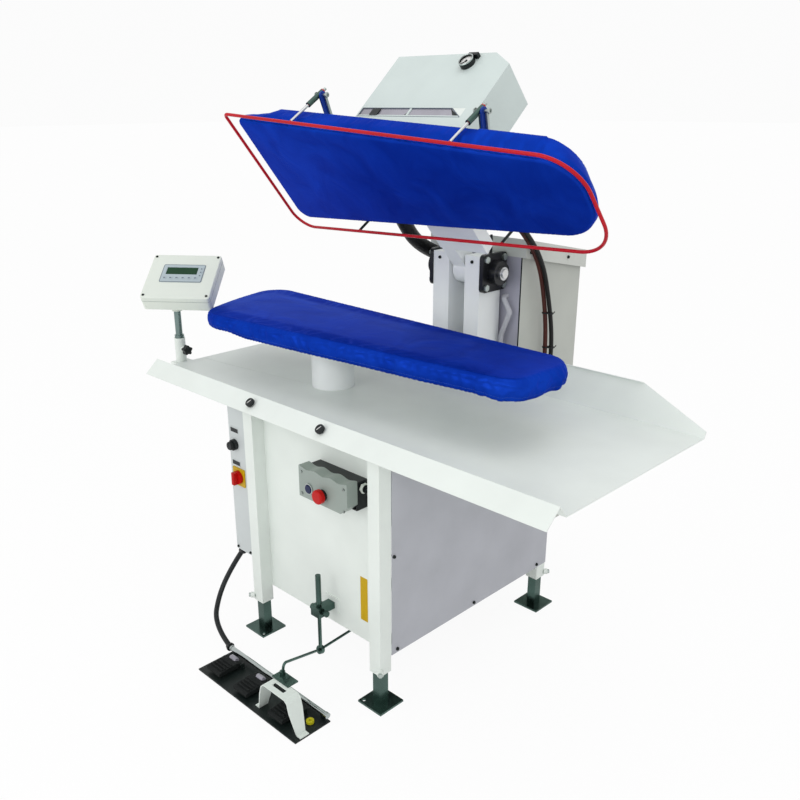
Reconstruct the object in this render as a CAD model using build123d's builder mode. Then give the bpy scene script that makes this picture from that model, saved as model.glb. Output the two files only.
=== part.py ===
from build123d import *
import os
from math import sin, cos, tan, radians, pi, hypot

# Steam press in its rest pose, head open. Millimetres, +Z up, -Y is the operator's side.
# The origin is on the floor, at the middle of the four feet.

# Clearances
gap = 0.3
run_gap = 0.06

# Base
leg_x = 262.5
leg_y = 360.5
post = 42
post_bottom = 104
frame_top = 767
leg = 30
leg_top = 255
foot = 90
foot_thick = 6
anchor_in = 33
anchor_radius = 5.5
panel_low = 155
sheet = 1.5
panel_front = -339.5
side_outer = leg_x + post / 2 + sheet
rear_outer = 383
screw_radius = 5
clamp_height = 119

# Table
table_left = -672.4
table_right = 836.4
table_z = 794
table_sheet = 2
column_x = -149.6
column_y = -142.8
column_radius = 63
lip_y = -440.4
lip_z = 804.8
lip_buttons = {"left": -152, "right": 139}

# Buck, the lower pressing surface
buck_top = 990
buck_hem = 932
buck_points = [(-526, -350), (578, -253), (584, -12), (-668, 54)]
buck_radii = [90, 45, 85, 55]
cover = 2
crown = 4
mid_y = -150

# Head, described closed over the buck and turned open about the pivot
pivot_y = 325
pivot_z = 1092
head_open = 48
face_z = 991
wall_top = 1067
head_points = [(-475, -355), (622, -247), (622, -22), (-522, 48)]
head_radii = [18, 100, 100, 40]
back_points = [(-390, -350), (582, -254), (582, -16), (-437, 46)]
back_radii = [26, 95, 95, 45]
platen_top = 1062
shaft_radius = 20
bar_points = [(-512, -375), (635, -262), (635, 38), (-566, 100)]
bar_radii = [14, 112, 112, 60]
bar_radius = 4.5
bar_z = 995
bar_lean = 0.158
rod_radius = 4
front_rods = (-238, 300)
rear_rods = (-280, 283)

# Casing on the head
case_left = -260
case_right = 178
case_front = -180
case_back = -44
case_low = 1072
case_top = 1444
gauge_x = 35
gauge_z = case_top - 44
gauge_radius = 22

# Uprights and drive
up_front = 270
up_back = 372
up_top = 1143
left_up = (-128, -64)
right_up = (0, 58)
lever = 120
pin_radius = 8
cylinder_x = -32
cylinder_bore = 40
cabinet_front = 385
cabinet_back = 706
cabinet_left = -229
cabinet_right = 129

# Control box, station and display
box_left = -366
box_right = -285.3
box_front = -375
station_left = 8
station_right = 200
station_low = 575
station_high = 665
station_front = -415
post_x = -695
post_y = -318
tube_radius = 11
panel_centre = (-681, -295, 1048)
panel_turn = 37.9
panel_lift = 57.4
panel_wide = 222
panel_high = 194
panel_deep = 52

# Supply connections on the cabinet's rear wall: position across, bore radius
supply_z = 300
supplies = {"steam": (-150, 10.5), "condensate": (-80, 8), "air": (60, 6.5)}

# Pedals
plate_left = -225
plate_right = 226
plate_front = -640
plate_back = -530
plate_thick = 4
pedal_xs = {"left": -165, "middle": -35, "right": 124}
hinge_y = -548
hinge_z = 16
pedal_tube_y = -523
pedal_tube_z = 22
pedal_tube_radius = 7.2
cable_radius = 8
hose_radius = 7
duct_radius = 23

os.makedirs("parts", exist_ok=True)
pivot_axis = Axis((0, pivot_y, pivot_z), (1, 0, 0))
lever_rise = lever * sin(radians(head_open / 2))
lever_reach = lever * cos(radians(head_open / 2))
stroke = 2 * lever_rise
cylinder_y = pivot_y + (lever + lever_reach) / 2
lean_length = hypot(1, bar_lean)


def save(piece, label):
    piece.label = label
    export_step(piece, "parts/" + label + ".step")


def save_open(piece, label):
    # A piece of the head, drawn closed, stands open at rest
    save(piece.rotate(pivot_axis, -head_open), label)


def lifted(x, y, z):
    # Where a point of the closed head lies when the head is open
    along, above = y - pivot_y, z - pivot_z
    turn = radians(head_open)
    return (x, pivot_y + along * cos(turn) + above * sin(turn),
            pivot_z - along * sin(turn) + above * cos(turn))


def block(x0, x1, y0, y1, z0, z1, mode=Mode.ADD):
    with Locations(((x0 + x1) / 2, (y0 + y1) / 2, (z0 + z1) / 2)):
        Box(x1 - x0, y1 - y0, z1 - z0, mode=mode)


def rod(start, end, radius, mode=Mode.ADD):
    run = Vector(*end) - Vector(*start)
    with Locations(Plane(origin=start, z_dir=run)):
        Cylinder(radius, run.length, align=(Align.CENTER, Align.CENTER, Align.MIN), mode=mode)


def band(points, thickness):
    # Outline of a bent strip: the given face, then the face to its right
    sides = []
    for first, second in zip(points, points[1:]):
        run = hypot(second[0] - first[0], second[1] - first[1])
        sides.append(((second[1] - first[1]) / run, -(second[0] - first[0]) / run))
    sides = [sides[0]] + sides + [sides[-1]]
    back = []
    for spot, a, b in zip(points, sides, sides[1:]):
        share = thickness / (1 + a[0] * b[0] + a[1] * b[1])
        back.append((spot[0] + (a[0] + b[0]) * share, spot[1] + (a[1] + b[1]) * share))
    return points + back[::-1]


def profile(plane, points, depth, mode=Mode.ADD):
    with BuildSketch(plane) as shape:
        with BuildLine():
            Polyline(*points, close=True)
        make_face()
    extrude(shape.sketch, amount=depth, mode=mode)


def cushion(points, radii, inset, low, high, rise, edge):
    # A padded slab whose top is crowned across its width and rounded at its rim
    with BuildPart() as body:
        with BuildSketch(Plane.XY.offset(low)):
            with BuildLine():
                FilletPolyline(*points, radius=radii, close=True)
            make_face()
            if inset:
                offset(amount=-inset)
        extrude(amount=high - low)
        with BuildSketch(Plane.YZ.offset(-800)):
            with BuildLine():
                ThreePointArc((mid_y - 260, high - rise), (mid_y, high), (mid_y + 260, high - rise))
                Polyline((mid_y + 260, high - rise), (mid_y + 260, low), (mid_y - 260, low),
                         (mid_y - 260, high - rise))
            make_face()
        extrude(amount=1600, mode=Mode.INTERSECT)
        if edge:
            rim = body.edges().filter_by(lambda e: e.center().Z > high - rise - 1)
            fillet(rim, edge)
    return body.part


def outline_slab(points, radii, inset, low, high):
    with BuildPart() as body:
        with BuildSketch(Plane.XY.offset(low)):
            with BuildLine():
                FilletPolyline(*points, radius=radii, close=True)
            make_face()
            if inset:
                offset(amount=-inset)
        extrude(amount=high - low)
    return body.part


def leaning(piece, inset):
    # The head's ends lean inwards above its face, to a shorter outline at its back
    with BuildPart() as limit:
        for height, points, radii, spread in ((face_z + 20, head_points, head_radii, 5),
                                              (wall_top + 2, back_points, back_radii, 0)):
            with BuildSketch(Plane.XY.offset(height)):
                with BuildLine():
                    FilletPolyline(*points, radius=radii, close=True)
                make_face()
                if spread != inset:
                    offset(amount=spread - inset)
        loft(ruled=True)
        with BuildSketch(Plane.XY.offset(face_z - 5)):
            with BuildLine():
                FilletPolyline(*head_points, radius=head_radii, close=True)
            make_face()
            offset(amount=12)
        extrude(amount=25)
    with BuildPart() as body:
        add(piece)
        add(limit.part, mode=Mode.INTERSECT)
    return body.part


def tube(points, radii, radius, name):
    # Round cord or pipe along straight runs joined by tangent arcs
    with BuildPart() as body:
        with BuildLine():
            path = FilletPolyline(*points, radius=radii)
        with BuildSketch(Plane(origin=path @ 0, z_dir=path % 0)):
            Circle(radius)
        sweep(path=path)
    ideal = pi * radius ** 2 * path.length
    print(name, "length", round(path.length), "radii", [round(r) for r in radii],
          "volume ratio", round(body.part.volume / ideal, 3))
    return body.part


def bend_radii(points):
    found = []
    for a, b, c in zip(points, points[1:], points[2:]):
        first, second = Vector(*b) - Vector(*a), Vector(*c) - Vector(*b)
        half = radians(first.get_angle(second)) / 2
        found.append(0.45 * min(first.length, second.length) / tan(half))
    return found


corners = [(sx * leg_x, sy * leg_y, sx, sy) for sx in (-1, 1) for sy in (-1, 1)]
side_screws = [(-317, 166), (13, 166), (332, 166), (-330, 459)]
slip = leg / 2 + 0.5

# Welded frame: posts, rails, table bearers, column seat, upright seat and tie strap
with BuildPart() as base_frame:
    for x, y, sx, sy in corners:
        block(x - post / 2, x + post / 2, y - post / 2, y + post / 2, post_bottom, frame_top)
    for s in (-1, 1):
        for low in (160, 737):
            with Locations((s * (leg_x + 3), 0, low + 15)):
                Box(post - 6, 2 * leg_y - 35, 30)
    for low in (160, 737):
        block(12.5 - leg_x, leg_x - 12.5, panel_front + 1.5, panel_front + 31.5, low, low + 30)
        block(19.5 - leg_x, leg_x - 19.5, leg_y - 14.5, leg_y + post / 2, low, low + 30)
    for y in (-250, 150):
        block(-640, 800, y - 20, y + 20, frame_top, 792)
        block(-641, 801, y - 17.5, y + 17.5, frame_top + 2.5, 789.5, Mode.SUBTRACT)
    block(-230, -190, -320, 350, 717, 755)
    block(-110, -70, -320, 350, 717, 755)
    block(-245, -55, -229, -45, 755, frame_top)
    block(-leg_x, leg_x, 262, 350, 755, frame_top)
    block(16, 56, -320, 350, 160, 172)
    block(16, 56, -240, -234, 62, 165)
    rod((31, -245, 78.4), (31, -230, 78.4), 4.8, Mode.SUBTRACT)
    for x, y, sx, sy in corners:
        edge = Vector(x + sx * 20, y + sy * 20, clamp_height)
        rod(tuple(edge), tuple(edge + Vector(sx, sy, 0) * 8.5), 9)
        block(x - slip, x + slip, y - slip, y + slip, post_bottom - 1, leg_top, Mode.SUBTRACT)
        block(x - 17, x + 17, y - 17, y + 17, leg_top + 10, frame_top - 7, Mode.SUBTRACT)
        rod((x, y, clamp_height), tuple(edge + Vector(sx, sy, 0) * 12), 4.2, Mode.SUBTRACT)
    for y, z in side_screws:
        for s in (-1, 1):
            rod((s * (side_outer - 12), y, z), (s * (side_outer + 5), y, z), 2.3, Mode.SUBTRACT)
save(base_frame.part, "base_frame")

# Telescopic legs with square foot plates
leg_names = {(-1, -1): "leg_front_left", (1, -1): "leg_front_right",
             (-1, 1): "leg_rear_left", (1, 1): "leg_rear_right"}
for x, y, sx, sy in corners:
    with BuildPart() as one_leg:
        block(x - foot / 2, x + foot / 2, y - foot / 2, y + foot / 2, 0, foot_thick)
        block(x - leg / 2, x + leg / 2, y - leg / 2, y + leg / 2, foot_thick, leg_top)
        block(x - leg / 2 + 4, x + leg / 2 - 4, y - leg / 2 + 4, y + leg / 2 - 4, foot_thick,
              leg_top - 6, Mode.SUBTRACT)
        rod((x - sx * anchor_in, y + sy * anchor_in, -1),
            (x - sx * anchor_in, y + sy * anchor_in, 8), anchor_radius, Mode.SUBTRACT)
    save(one_leg.part, leg_names[(sx, sy)])

# Clamp bolts that lock the legs in the posts
with BuildPart() as leg_clamp_bolts:
    for x, y, sx, sy in corners:
        out = Vector(sx, sy, 0).normalized()
        middle = Vector(x, y, clamp_height)
        rod(tuple(middle + out * 21.8), tuple(middle + out * 43), 4)
        with BuildSketch(Plane(origin=tuple(middle + out * 41), z_dir=out)):
            RegularPolygon(6.5, 6)
        extrude(amount=6)
save(leg_clamp_bolts.part, "leg_clamp_bolts")

# Sheet panels round the base
with BuildPart() as front_panel:
    block(sheet + 0.2 - side_outer, side_outer - sheet - 0.2, panel_front, panel_front + sheet, panel_low,
          frame_top - 2)
    block(45 - side_outer, side_outer - 45, panel_front + sheet, panel_front + sheet + 12, panel_low,
          panel_low + sheet)
    for s in (-1, 1):
        for z in (175, 752):
            with Locations((s * (side_outer - 19), panel_front, z)):
                Box(37.4, 10, 30.6, mode=Mode.SUBTRACT)
save(front_panel.part, "front_panel")

with BuildPart() as base_panels:
    for s in (-1, 1):
        inner, outer = sorted((s * (side_outer - sheet), s * side_outer))
        block(inner, outer, panel_front + 2.1, rear_outer, panel_low - 1, frame_top - 1)
        inner, outer = sorted((s * (side_outer - 14), s * side_outer))
        block(inner, outer, panel_front + 1.5, leg_y - 22.5, panel_low - 1, panel_low + 0.5)
        for y, z in side_screws:
            rod((s * (side_outer - 5), y, z), (s * (side_outer + 5), y, z), 2.3, Mode.SUBTRACT)
    block(sheet - side_outer, side_outer - sheet, rear_outer - sheet, rear_outer, panel_low, frame_top - 2)
    for z in (220, 720):
        block(-190, 90, rear_outer - 1, cabinet_front, z, z + 40)
save(base_panels.part, "base_panels")

with BuildPart() as panel_screws:
    for y, z in side_screws:
        for s in (-1, 1):
            if s > 0 or z < 250:
                rod((s * (side_outer - 11), y, z), (s * (side_outer + 2.5), y, z), 2)
                rod((s * side_outer, y, z), (s * (side_outer + 2.5), y, z), screw_radius)
    for y, z in ((406, 1150), (608, 1112)):
        rod((143, y, z), (145.5, y, z), screw_radius)
        rod((-243, y, z), (-245.5, y, z), screw_radius)
    for x in (-101, 28):
        rod((x, up_front, 1125), (x, up_front - 2.5, 1125), screw_radius)
    for x in (box_left + 9, box_right - 9):
        for z in (264, 742):
            rod((x, box_front - 2, z), (x, box_front - 4.5, z), 4)
    for x in (station_left + 12, station_right - 12):
        for z in (station_low + 11, station_high - 16):
            rod((x, station_front, z), (x, station_front - 1.5, z), 3.5)
save(panel_screws.part, "panel_screws")

# Catch table: ridged lip in front, leaning flange behind
table_side = [(-462.3, 784.9), (-418.5, 824.7), (-393.2, table_z), (207.6, table_z), (250, 884),
              (243, 886)]
with BuildPart() as table_top:
    profile(Plane.YZ.offset(table_left), band(table_side, table_sheet), table_right - table_left)
    profile(Plane.XZ.offset(-260), [(632, 890), (632, 886.5), (table_right + 2, 808),
                                   (table_right + 2, 890)], 52, Mode.SUBTRACT)
    with Locations((column_x, column_y, table_z)):
        Cylinder(column_radius + 1, 20, mode=Mode.SUBTRACT)
    slit = [(table_left - 1, -251), (-566, -242), (-197, -190)]
    profile(Plane.XY.offset(785), band(slit, 1.2), 20, Mode.SUBTRACT)
    for x in lip_buttons.values():
        rod((x, lip_y + 7, lip_z - 7.7), (x, lip_y - 7, lip_z + 7.7), 6.4, Mode.SUBTRACT)
save(table_top.part, "table_top")

# Two-hand closing buttons, square to the lip
lip_out = Vector(0, -0.6725, 0.7401)
for side, x in lip_buttons.items():
    seat = Vector(x, lip_y, lip_z)
    with BuildPart() as lip_button:
        rod(tuple(seat - lip_out * 6), tuple(seat + lip_out * 6), 6)
        rod(tuple(seat - lip_out * 6.5), tuple(seat - lip_out * 2.6), 9)
        rod(tuple(seat + lip_out * 4.8), tuple(seat + lip_out * 14), 13)
        fillet(lip_button.faces().sort_by(Axis((0, 0, 0), tuple(lip_out)))[-1].edges(), 3)
    save(lip_button.part, "close_button_" + side)

# Column that carries the buck
with BuildPart() as buck_column:
    rod((column_x, column_y, frame_top), (column_x, column_y, frame_top + 10), 82)
    rod((column_x, column_y, frame_top + 10), (column_x, column_y, 905), column_radius)
    rod((column_x, column_y, 905), (column_x, column_y, 913), 80)
    block(-440, 400, -185, -115, 913, 940)
    block(-400, -350, -285, -25, 928, 940)
    block(310, 360, -225, -45, 928, 940)
    rod((column_x, column_y, frame_top - 1), (column_x, column_y, 904), column_radius - 5,
        Mode.SUBTRACT)
save(buck_column.part, "buck_column")

# Buck: hollow cast platen, felt pad, cloth cover with a gathered hem
buck_body = outline_slab(buck_points, buck_radii, cover + 0.4, 940, 973)
buck_chamber = outline_slab(buck_points, buck_radii, 16, 948, 965)
with BuildPart() as buck_platen:
    add(buck_body)
    add(buck_chamber, mode=Mode.SUBTRACT)
    rod((-213, -262, 926), (-213, -262, 941), 9)
save(buck_platen.part, "buck_platen")
buck_felt = cushion(buck_points, buck_radii, cover + 0.4, 973, buck_top - cover - 0.2, crown, 12.6)
save(buck_felt, "buck_pad")
buck_skin = cushion(buck_points, buck_radii, 0, buck_hem, buck_top, crown, 14)
buck_inside = cushion(buck_points, buck_radii, cover, buck_hem + cover, buck_top - cover, crown, 12)
buck_mouth = outline_slab(buck_points, buck_radii, 24, buck_hem - 1, buck_hem + cover + 1)
with BuildPart() as buck_cover:
    add(buck_skin)
    add(buck_inside, mode=Mode.SUBTRACT)
    add(buck_mouth, mode=Mode.SUBTRACT)
save(buck_cover.part, "buck_cover")

# Head: the same three layers turned over, drawn face up and flipped
flip = Plane(origin=(0, 0, (face_z + wall_top) / 2), x_dir=(1, 0, 0), z_dir=(0, 0, 1))


def turned_over(piece):
    return piece.mirror(Plane.XY.offset((face_z + wall_top) / 2))


head_skin = leaning(turned_over(cushion(head_points, head_radii, 0, face_z, wall_top, crown, 14)), 0)
head_inside = leaning(turned_over(cushion(head_points, head_radii, cover, face_z + cover,
                                          wall_top - cover, crown, 12)), cover)
head_mouth = outline_slab(back_points, back_radii, 26, wall_top - cover - 1, wall_top + 1)
with BuildPart() as head_cover:
    add(head_skin)
    add(head_inside, mode=Mode.SUBTRACT)
    add(head_mouth, mode=Mode.SUBTRACT)
save_open(head_cover.part, "head_cover")
pad_back = face_z + 16
head_felt = turned_over(cushion(head_points, head_radii, cover + 0.4,
                                face_z + wall_top - pad_back, wall_top - cover - 0.2, crown, 12.6))
save_open(head_felt, "head_pad")
head_body = leaning(outline_slab(head_points, head_radii, cover + 0.4, pad_back, platen_top), cover + 0.4)
head_chamber = leaning(outline_slab(head_points, head_radii, 16, pad_back + 10, platen_top - 12), 16)
with BuildPart() as head_platen:
    add(head_body)
    add(head_chamber, mode=Mode.SUBTRACT)
save_open(head_platen.part, "head_platen")

# Head arm: hub on the shaft, plate between the uprights, wide foot on the platen, rear lever
pin_y = pivot_y + lever_reach
pin_z = pivot_z + lever_rise
with BuildPart() as head_arm:
    rod((-58, pivot_y, pivot_z), (-6, pivot_y, pivot_z), 44)
    block(-58, -6, 200, pivot_y, 1068, 1116)
    block(-63, 117, -155, 207, 1068, 1108)
    block(-60, 114, -152, -36, platen_top, 1069)
    along = Vector(0, lever_reach, lever_rise).normalized()
    across = Vector(0, -along.Z, along.Y)
    hub = Vector(-44, pivot_y, pivot_z)
    tip = Vector(-44, pin_y, pin_z)
    bar_corners = [hub - across * 18, tip - across * 18, tip + across * 18, hub + across * 18]
    profile(Plane.YZ.offset(-44), [(c.Y, c.Z) for c in bar_corners], 24)
    rod((-44, pin_y, pin_z), (-20, pin_y, pin_z), 20)
    rod((-57, pin_y, pin_z), (-7, pin_y, pin_z), pin_radius)
    rod((-70, pivot_y, pivot_z), (0, pivot_y, pivot_z), shaft_radius + run_gap, Mode.SUBTRACT)
    block(-50, 104, -140, 190, 1074, 1102, Mode.SUBTRACT)
save_open(head_arm.part, "head_arm")

with BuildPart() as pivot_shaft:
    rod((-172, pivot_y, pivot_z), (108, pivot_y, pivot_z), shaft_radius)
    rod((108, pivot_y, pivot_z), (112, pivot_y, pivot_z), 14)
save_open(pivot_shaft.part, "pivot_shaft")

# White casing on the head, with a window along its front
case_corner = [(case_left, case_low), (case_right, case_low), (case_right, 1397), (108, case_top - 2),
               (case_left, case_top)]
case_inner = [(case_left + 1.5, case_low - 1), (case_right - 1.5, case_low - 1),
              (case_right - 1.5, 1396), (107.5, case_top - 3.5), (case_left + 1.5, case_top - 1.5)]
with BuildPart() as head_casing:
    profile(Plane.XZ.offset(-case_back), case_corner, case_back - case_front)
    profile(Plane.XZ.offset(-case_back + 1.5), case_inner, case_back - case_front - 3,
            Mode.SUBTRACT)
    block(-66, 120, case_back - 5, case_back + 1, case_low - 1, 1120, Mode.SUBTRACT)
    block(case_left + 6, 135, case_front - 1, case_front + 4, 1206, 1234, Mode.SUBTRACT)
    block(-64, -56, case_front, case_front + 5, 1204, 1236)
    for x in (case_left + 1, case_right - 26):
        for y in (case_front + 1, case_back - 26):
            block(x, x + 25, y, y + 25, platen_top, case_low + 6)
save_open(head_casing.part, "head_casing")

# Pressure gauge and its needle
with BuildPart() as gauge_body:
    rod((gauge_x, case_front, gauge_z), (gauge_x, case_front - 16, gauge_z), gauge_radius)
    rod((gauge_x, case_front - 10, gauge_z), (gauge_x, case_front - 17, gauge_z),
        gauge_radius - 3, Mode.SUBTRACT)
    rod((gauge_x, case_front - 9, gauge_z), (gauge_x, case_front - 12.5, gauge_z), 1.5)
    block(gauge_x - 8, gauge_x + 26, case_front - 14, case_front, gauge_z + gauge_radius - 2,
          gauge_z + gauge_radius + 8)
save_open(gauge_body.part, "gauge_body")

with BuildPart() as gauge_needle:
    rod((gauge_x, case_front - 10.7, gauge_z), (gauge_x, case_front - 13.2, gauge_z), 3)
    profile(Plane.XZ.offset(-case_front + 11.2),
            [(gauge_x - 1.4, gauge_z + 1), (gauge_x - 12.6, gauge_z - 11.2),
             (gauge_x - 11.2, gauge_z - 12.6), (gauge_x + 1, gauge_z - 1.4)], 1)
    rod((gauge_x, case_front - 9, gauge_z), (gauge_x, case_front - 12.7, gauge_z), 1.56,
        Mode.SUBTRACT)
save_open(gauge_needle.part, "gauge_needle")


def bar_y(x, z, front):
    # Height-dependent line of a guide rod that stands on the bar's front or rear run
    first, last = (0, 1) if front else (3, 2)
    (xa, ya), (xb, yb) = bar_points[first], bar_points[last]
    return ya + (yb - ya) * (x - xa) / (xb - xa) + bar_lean * (z - bar_z)


# Safety bar: closed loop round the head with four guide rods
with BuildPart() as safety_bar:
    with BuildLine():
        loop = FilletPolyline(*[(x, y, bar_z) for x, y in bar_points], radius=bar_radii, close=True)
    with BuildSketch(Plane(origin=loop @ 0, z_dir=loop % 0)):
        Circle(bar_radius)
    sweep(path=loop)
    for x in front_rods:
        rod((x, bar_y(x, bar_z, True), bar_z), (x, bar_y(x, 1150, True), 1150), rod_radius)
        rod((x, bar_y(x, 1136.3, True), 1136.3), (x, bar_y(x, 1140, True), 1140), 7)
    for x in rear_rods:
        rod((x, bar_y(x, bar_z, False), bar_z), (x, bar_y(x, 1100, False), 1100), rod_radius)
        rod((x, bar_y(x, 1088.3, False), 1088.3), (x, bar_y(x, 1092, False), 1092), 7)
save_open(safety_bar.part, "safety_bar")

# Brackets on the head whose sleeves guide the bar's rods
with BuildPart() as bar_brackets:
    for x in front_rods:
        block(x - 20, x + 20, -222, -182, platen_top, platen_top + 5)
        top_y, low_y = bar_y(x, 1136, True), bar_y(x, 1074, True)
        arm = [(-196, platen_top + 2), (-186, platen_top + 2), (-186, 1082), (top_y, 1132),
               (top_y - 4, 1121), (-196, 1074)]
        profile(Plane.YZ.offset(x - 3), arm, 6)
        rod((x, low_y, 1074), (x, top_y, 1136), 7.5)
        rod((x, bar_y(x, 1060, True), 1060), (x, bar_y(x, 1150, True), 1150),
            rod_radius + run_gap, Mode.SUBTRACT)
    for x, y in zip(rear_rods, (-40, -75)):
        block(x - 15, x + 15, y - 20, y + 20, platen_top, platen_top + 5)
        top_y = bar_y(x, 1088, False)
        arm = [(y, platen_top + 2), (y + 12, platen_top + 2), (y + 14, 1071), (top_y, 1071),
               (top_y, 1079), (y, 1079)]
        profile(Plane.YZ.offset(x - 3), arm, 6)
        rod((x, bar_y(x, 1062, False), 1062), (x, top_y, 1088), 7.5)
        rod((x, bar_y(x, 1050, False), 1050), (x, bar_y(x, 1100, False), 1100),
            rod_radius + run_gap, Mode.SUBTRACT)
save_open(bar_brackets.part, "bar_brackets")

# Uprights on a common foot, bored for the shaft
with BuildPart() as uprights:
    block(-200, 130, 262, 378, frame_top, frame_top + 10)
    for x0, x1 in (left_up, right_up):
        block(x0, x1, up_front, up_back, frame_top + 10, up_top)
    block(left_up[1] - 2, right_up[0] + 2, 366, up_back, frame_top + 10, 1010)
    for x0, x1 in (left_up, right_up):
        block(x0 + 5, x1 - 5, up_front + 5, up_back - 5, frame_top + 12, up_top - 5, Mode.SUBTRACT)
    rod((-140, pivot_y, pivot_z), (70, pivot_y, pivot_z), 25, Mode.SUBTRACT)
save(uprights.part, "uprights")

# Square flange bearings on the outer faces and their bolts
flange = 57.5
bolt_in = 42
with BuildPart() as bearings:
    for face, out in ((right_up[1], 1), (left_up[0], -1)):
        with BuildSketch(Plane(origin=(face, pivot_y, pivot_z), x_dir=(0, 1, 0), z_dir=(out, 0, 0))):
            RectangleRounded(2 * flange, 2 * flange, 14)
        extrude(amount=14)
        rod((face + out * 14, pivot_y, pivot_z), (face + out * 40, pivot_y, pivot_z), 36)
        for dy in (-bolt_in, bolt_in):
            for dz in (-bolt_in, bolt_in):
                rod((face - out, pivot_y + dy, pivot_z + dz),
                    (face + out * 16, pivot_y + dy, pivot_z + dz), 6.5, Mode.SUBTRACT)
    rod((-170, pivot_y, pivot_z), (100, pivot_y, pivot_z), shaft_radius + run_gap, Mode.SUBTRACT)
save(bearings.part, "bearings")

with BuildPart() as bearing_bolts:
    for face, out in ((right_up[1], 1), (left_up[0], -1)):
        for dy in (-bolt_in, bolt_in):
            for dz in (-bolt_in, bolt_in):
                y, z = pivot_y + dy, pivot_z + dz
                rod((face, y, z), (face + out * 16, y, z), 6)
                with BuildSketch(Plane(origin=(face + out * 14, y, z), z_dir=(out, 0, 0))):
                    RegularPolygon(10.5, 6)
                extrude(amount=7)
save(bearing_bolts.part, "bearing_bolts")

# Rear cabinet with a slot for the lever, and its sloping lid
cabinet_side = [(cabinet_front, 160), (cabinet_back, 160), (cabinet_back, 1122), (cabinet_front, 1188.2)]
with BuildPart() as rear_cabinet:
    profile(Plane.YZ.offset(cabinet_left), cabinet_side, cabinet_right - cabinet_left)
    block(cabinet_left + 2, cabinet_right - 2, cabinet_front + 2, cabinet_back - 2, 162, 1200,
          Mode.SUBTRACT)
    block(-64, 0, cabinet_front - 1, cabinet_front + 3, 1028, 1158, Mode.SUBTRACT)
    for x, radius in supplies.values():
        rod((x, cabinet_back - 2, supply_z), (x, cabinet_back + 20, supply_z), radius + 6)
        rod((x, cabinet_back - 3, supply_z), (x, cabinet_back + 21, supply_z), radius, Mode.SUBTRACT)
save(rear_cabinet.part, "rear_cabinet")

with BuildPart() as cabinet_lid:
    profile(Plane.YZ.offset(-243), [(383, 1135), (383, 1190.5), (716, 1122), (716, 1065)], 386)
    profile(Plane.YZ.offset(-241.5), [(384.5, 1130), (384.5, 1188.7), (714.5, 1120.78),
                                      (714.5, 1060)], 383, Mode.SUBTRACT)
    block(-64, 0, 382, 385.5, 1134, 1162, Mode.SUBTRACT)
save(cabinet_lid.part, "cabinet_lid")

# Air cylinder and piston rod with a slotted fork round the lever's pin
fork_z = pivot_z - lever_rise
with BuildPart() as air_cylinder:
    rod((cylinder_x, cylinder_y, 700), (cylinder_x, cylinder_y, 925), 46)
    for z in (700, 900):
        block(cylinder_x - 50, cylinder_x + 50, cabinet_front + 2, cylinder_y + 50, z, z + 25)
    rod((cylinder_x, cylinder_y, 720), (cylinder_x, cylinder_y, 900), cylinder_bore, Mode.SUBTRACT)
    rod((cylinder_x, cylinder_y, 890), (cylinder_x, cylinder_y, 930), 12.5 + run_gap, Mode.SUBTRACT)
save(air_cylinder.part, "air_cylinder")

with BuildPart() as piston_rod:
    rod((cylinder_x, cylinder_y, 725), (cylinder_x, cylinder_y, 750), cylinder_bore - run_gap)
    rod((cylinder_x, cylinder_y, 750), (cylinder_x, cylinder_y, fork_z - 40), 12.5)
    block(-57, -7, cylinder_y - 24, cylinder_y + 24, fork_z - 50, fork_z + 22)
    block(-46.5, -17.5, cylinder_y - 25, cylinder_y + 25, fork_z - 32, fork_z + 23, Mode.SUBTRACT)
    slot = (lever - lever_reach) / 2 + pin_radius + 0.4
    block(-58, -6, cylinder_y - slot, cylinder_y + slot, fork_z - pin_radius - 0.9,
          fork_z + pin_radius + 0.9, Mode.SUBTRACT)
save(piston_rod.part, "piston_rod")

# White steam pipe beside the right upright
pipe_points = [(78, 384.9, 1012), (78, 364, 1012), (106, 364, 968), (76, 364, 890), (76, 364, 777)]
steam_pipe = tube(pipe_points, [11, 14, 30], 8, "steam_pipe")
save(steam_pipe, "steam_pipe")

# Control box on the left side, with its cover, switch plate and turning knobs
box_back = -200
with BuildPart() as control_box:
    block(box_left, box_right, box_front, box_back, 255, 765)
    block(box_left + 2, box_right - 2, box_front - 1, box_back - 2, 257, 763, Mode.SUBTRACT)
    for x in (box_left + 9, box_right - 9):
        for z in (264, 742):
            block(x - 7, x + 7, box_front, box_front + 8, z - 6.5, z + 6.5)
save(control_box.part, "control_box")

regulator_x, regulator_z = -338, 616
switch_x, switch_z = -326, 513
with BuildPart() as control_box_cover:
    block(box_left, box_right, box_front - 2, box_front, 255, 765)
    for z in (662, 556):
        block(-356, -318, box_front - 3, box_front - 2, z - 9, z + 9)
    rod((regulator_x, box_front - 4, regulator_z), (regulator_x, box_front + 1, regulator_z), 4.1,
        Mode.SUBTRACT)
    rod((switch_x, box_front - 4, switch_z), (switch_x, box_front + 1, switch_z), 6.1,
        Mode.SUBTRACT)
save(control_box_cover.part, "control_box_cover")

with BuildPart() as switch_plate:
    block(switch_x - 29, switch_x + 29, box_front - 5, box_front - 2, switch_z - 29, switch_z + 29)
    rod((switch_x, box_front - 1, switch_z), (switch_x, box_front - 6, switch_z), 6.1, Mode.SUBTRACT)
    fillet(switch_plate.edges().filter_by(Axis.Y).group_by(
        lambda e: round(hypot(e.center().X - switch_x, e.center().Z - switch_z)))[-1], 3)
save(switch_plate.part, "switch_plate")

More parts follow.
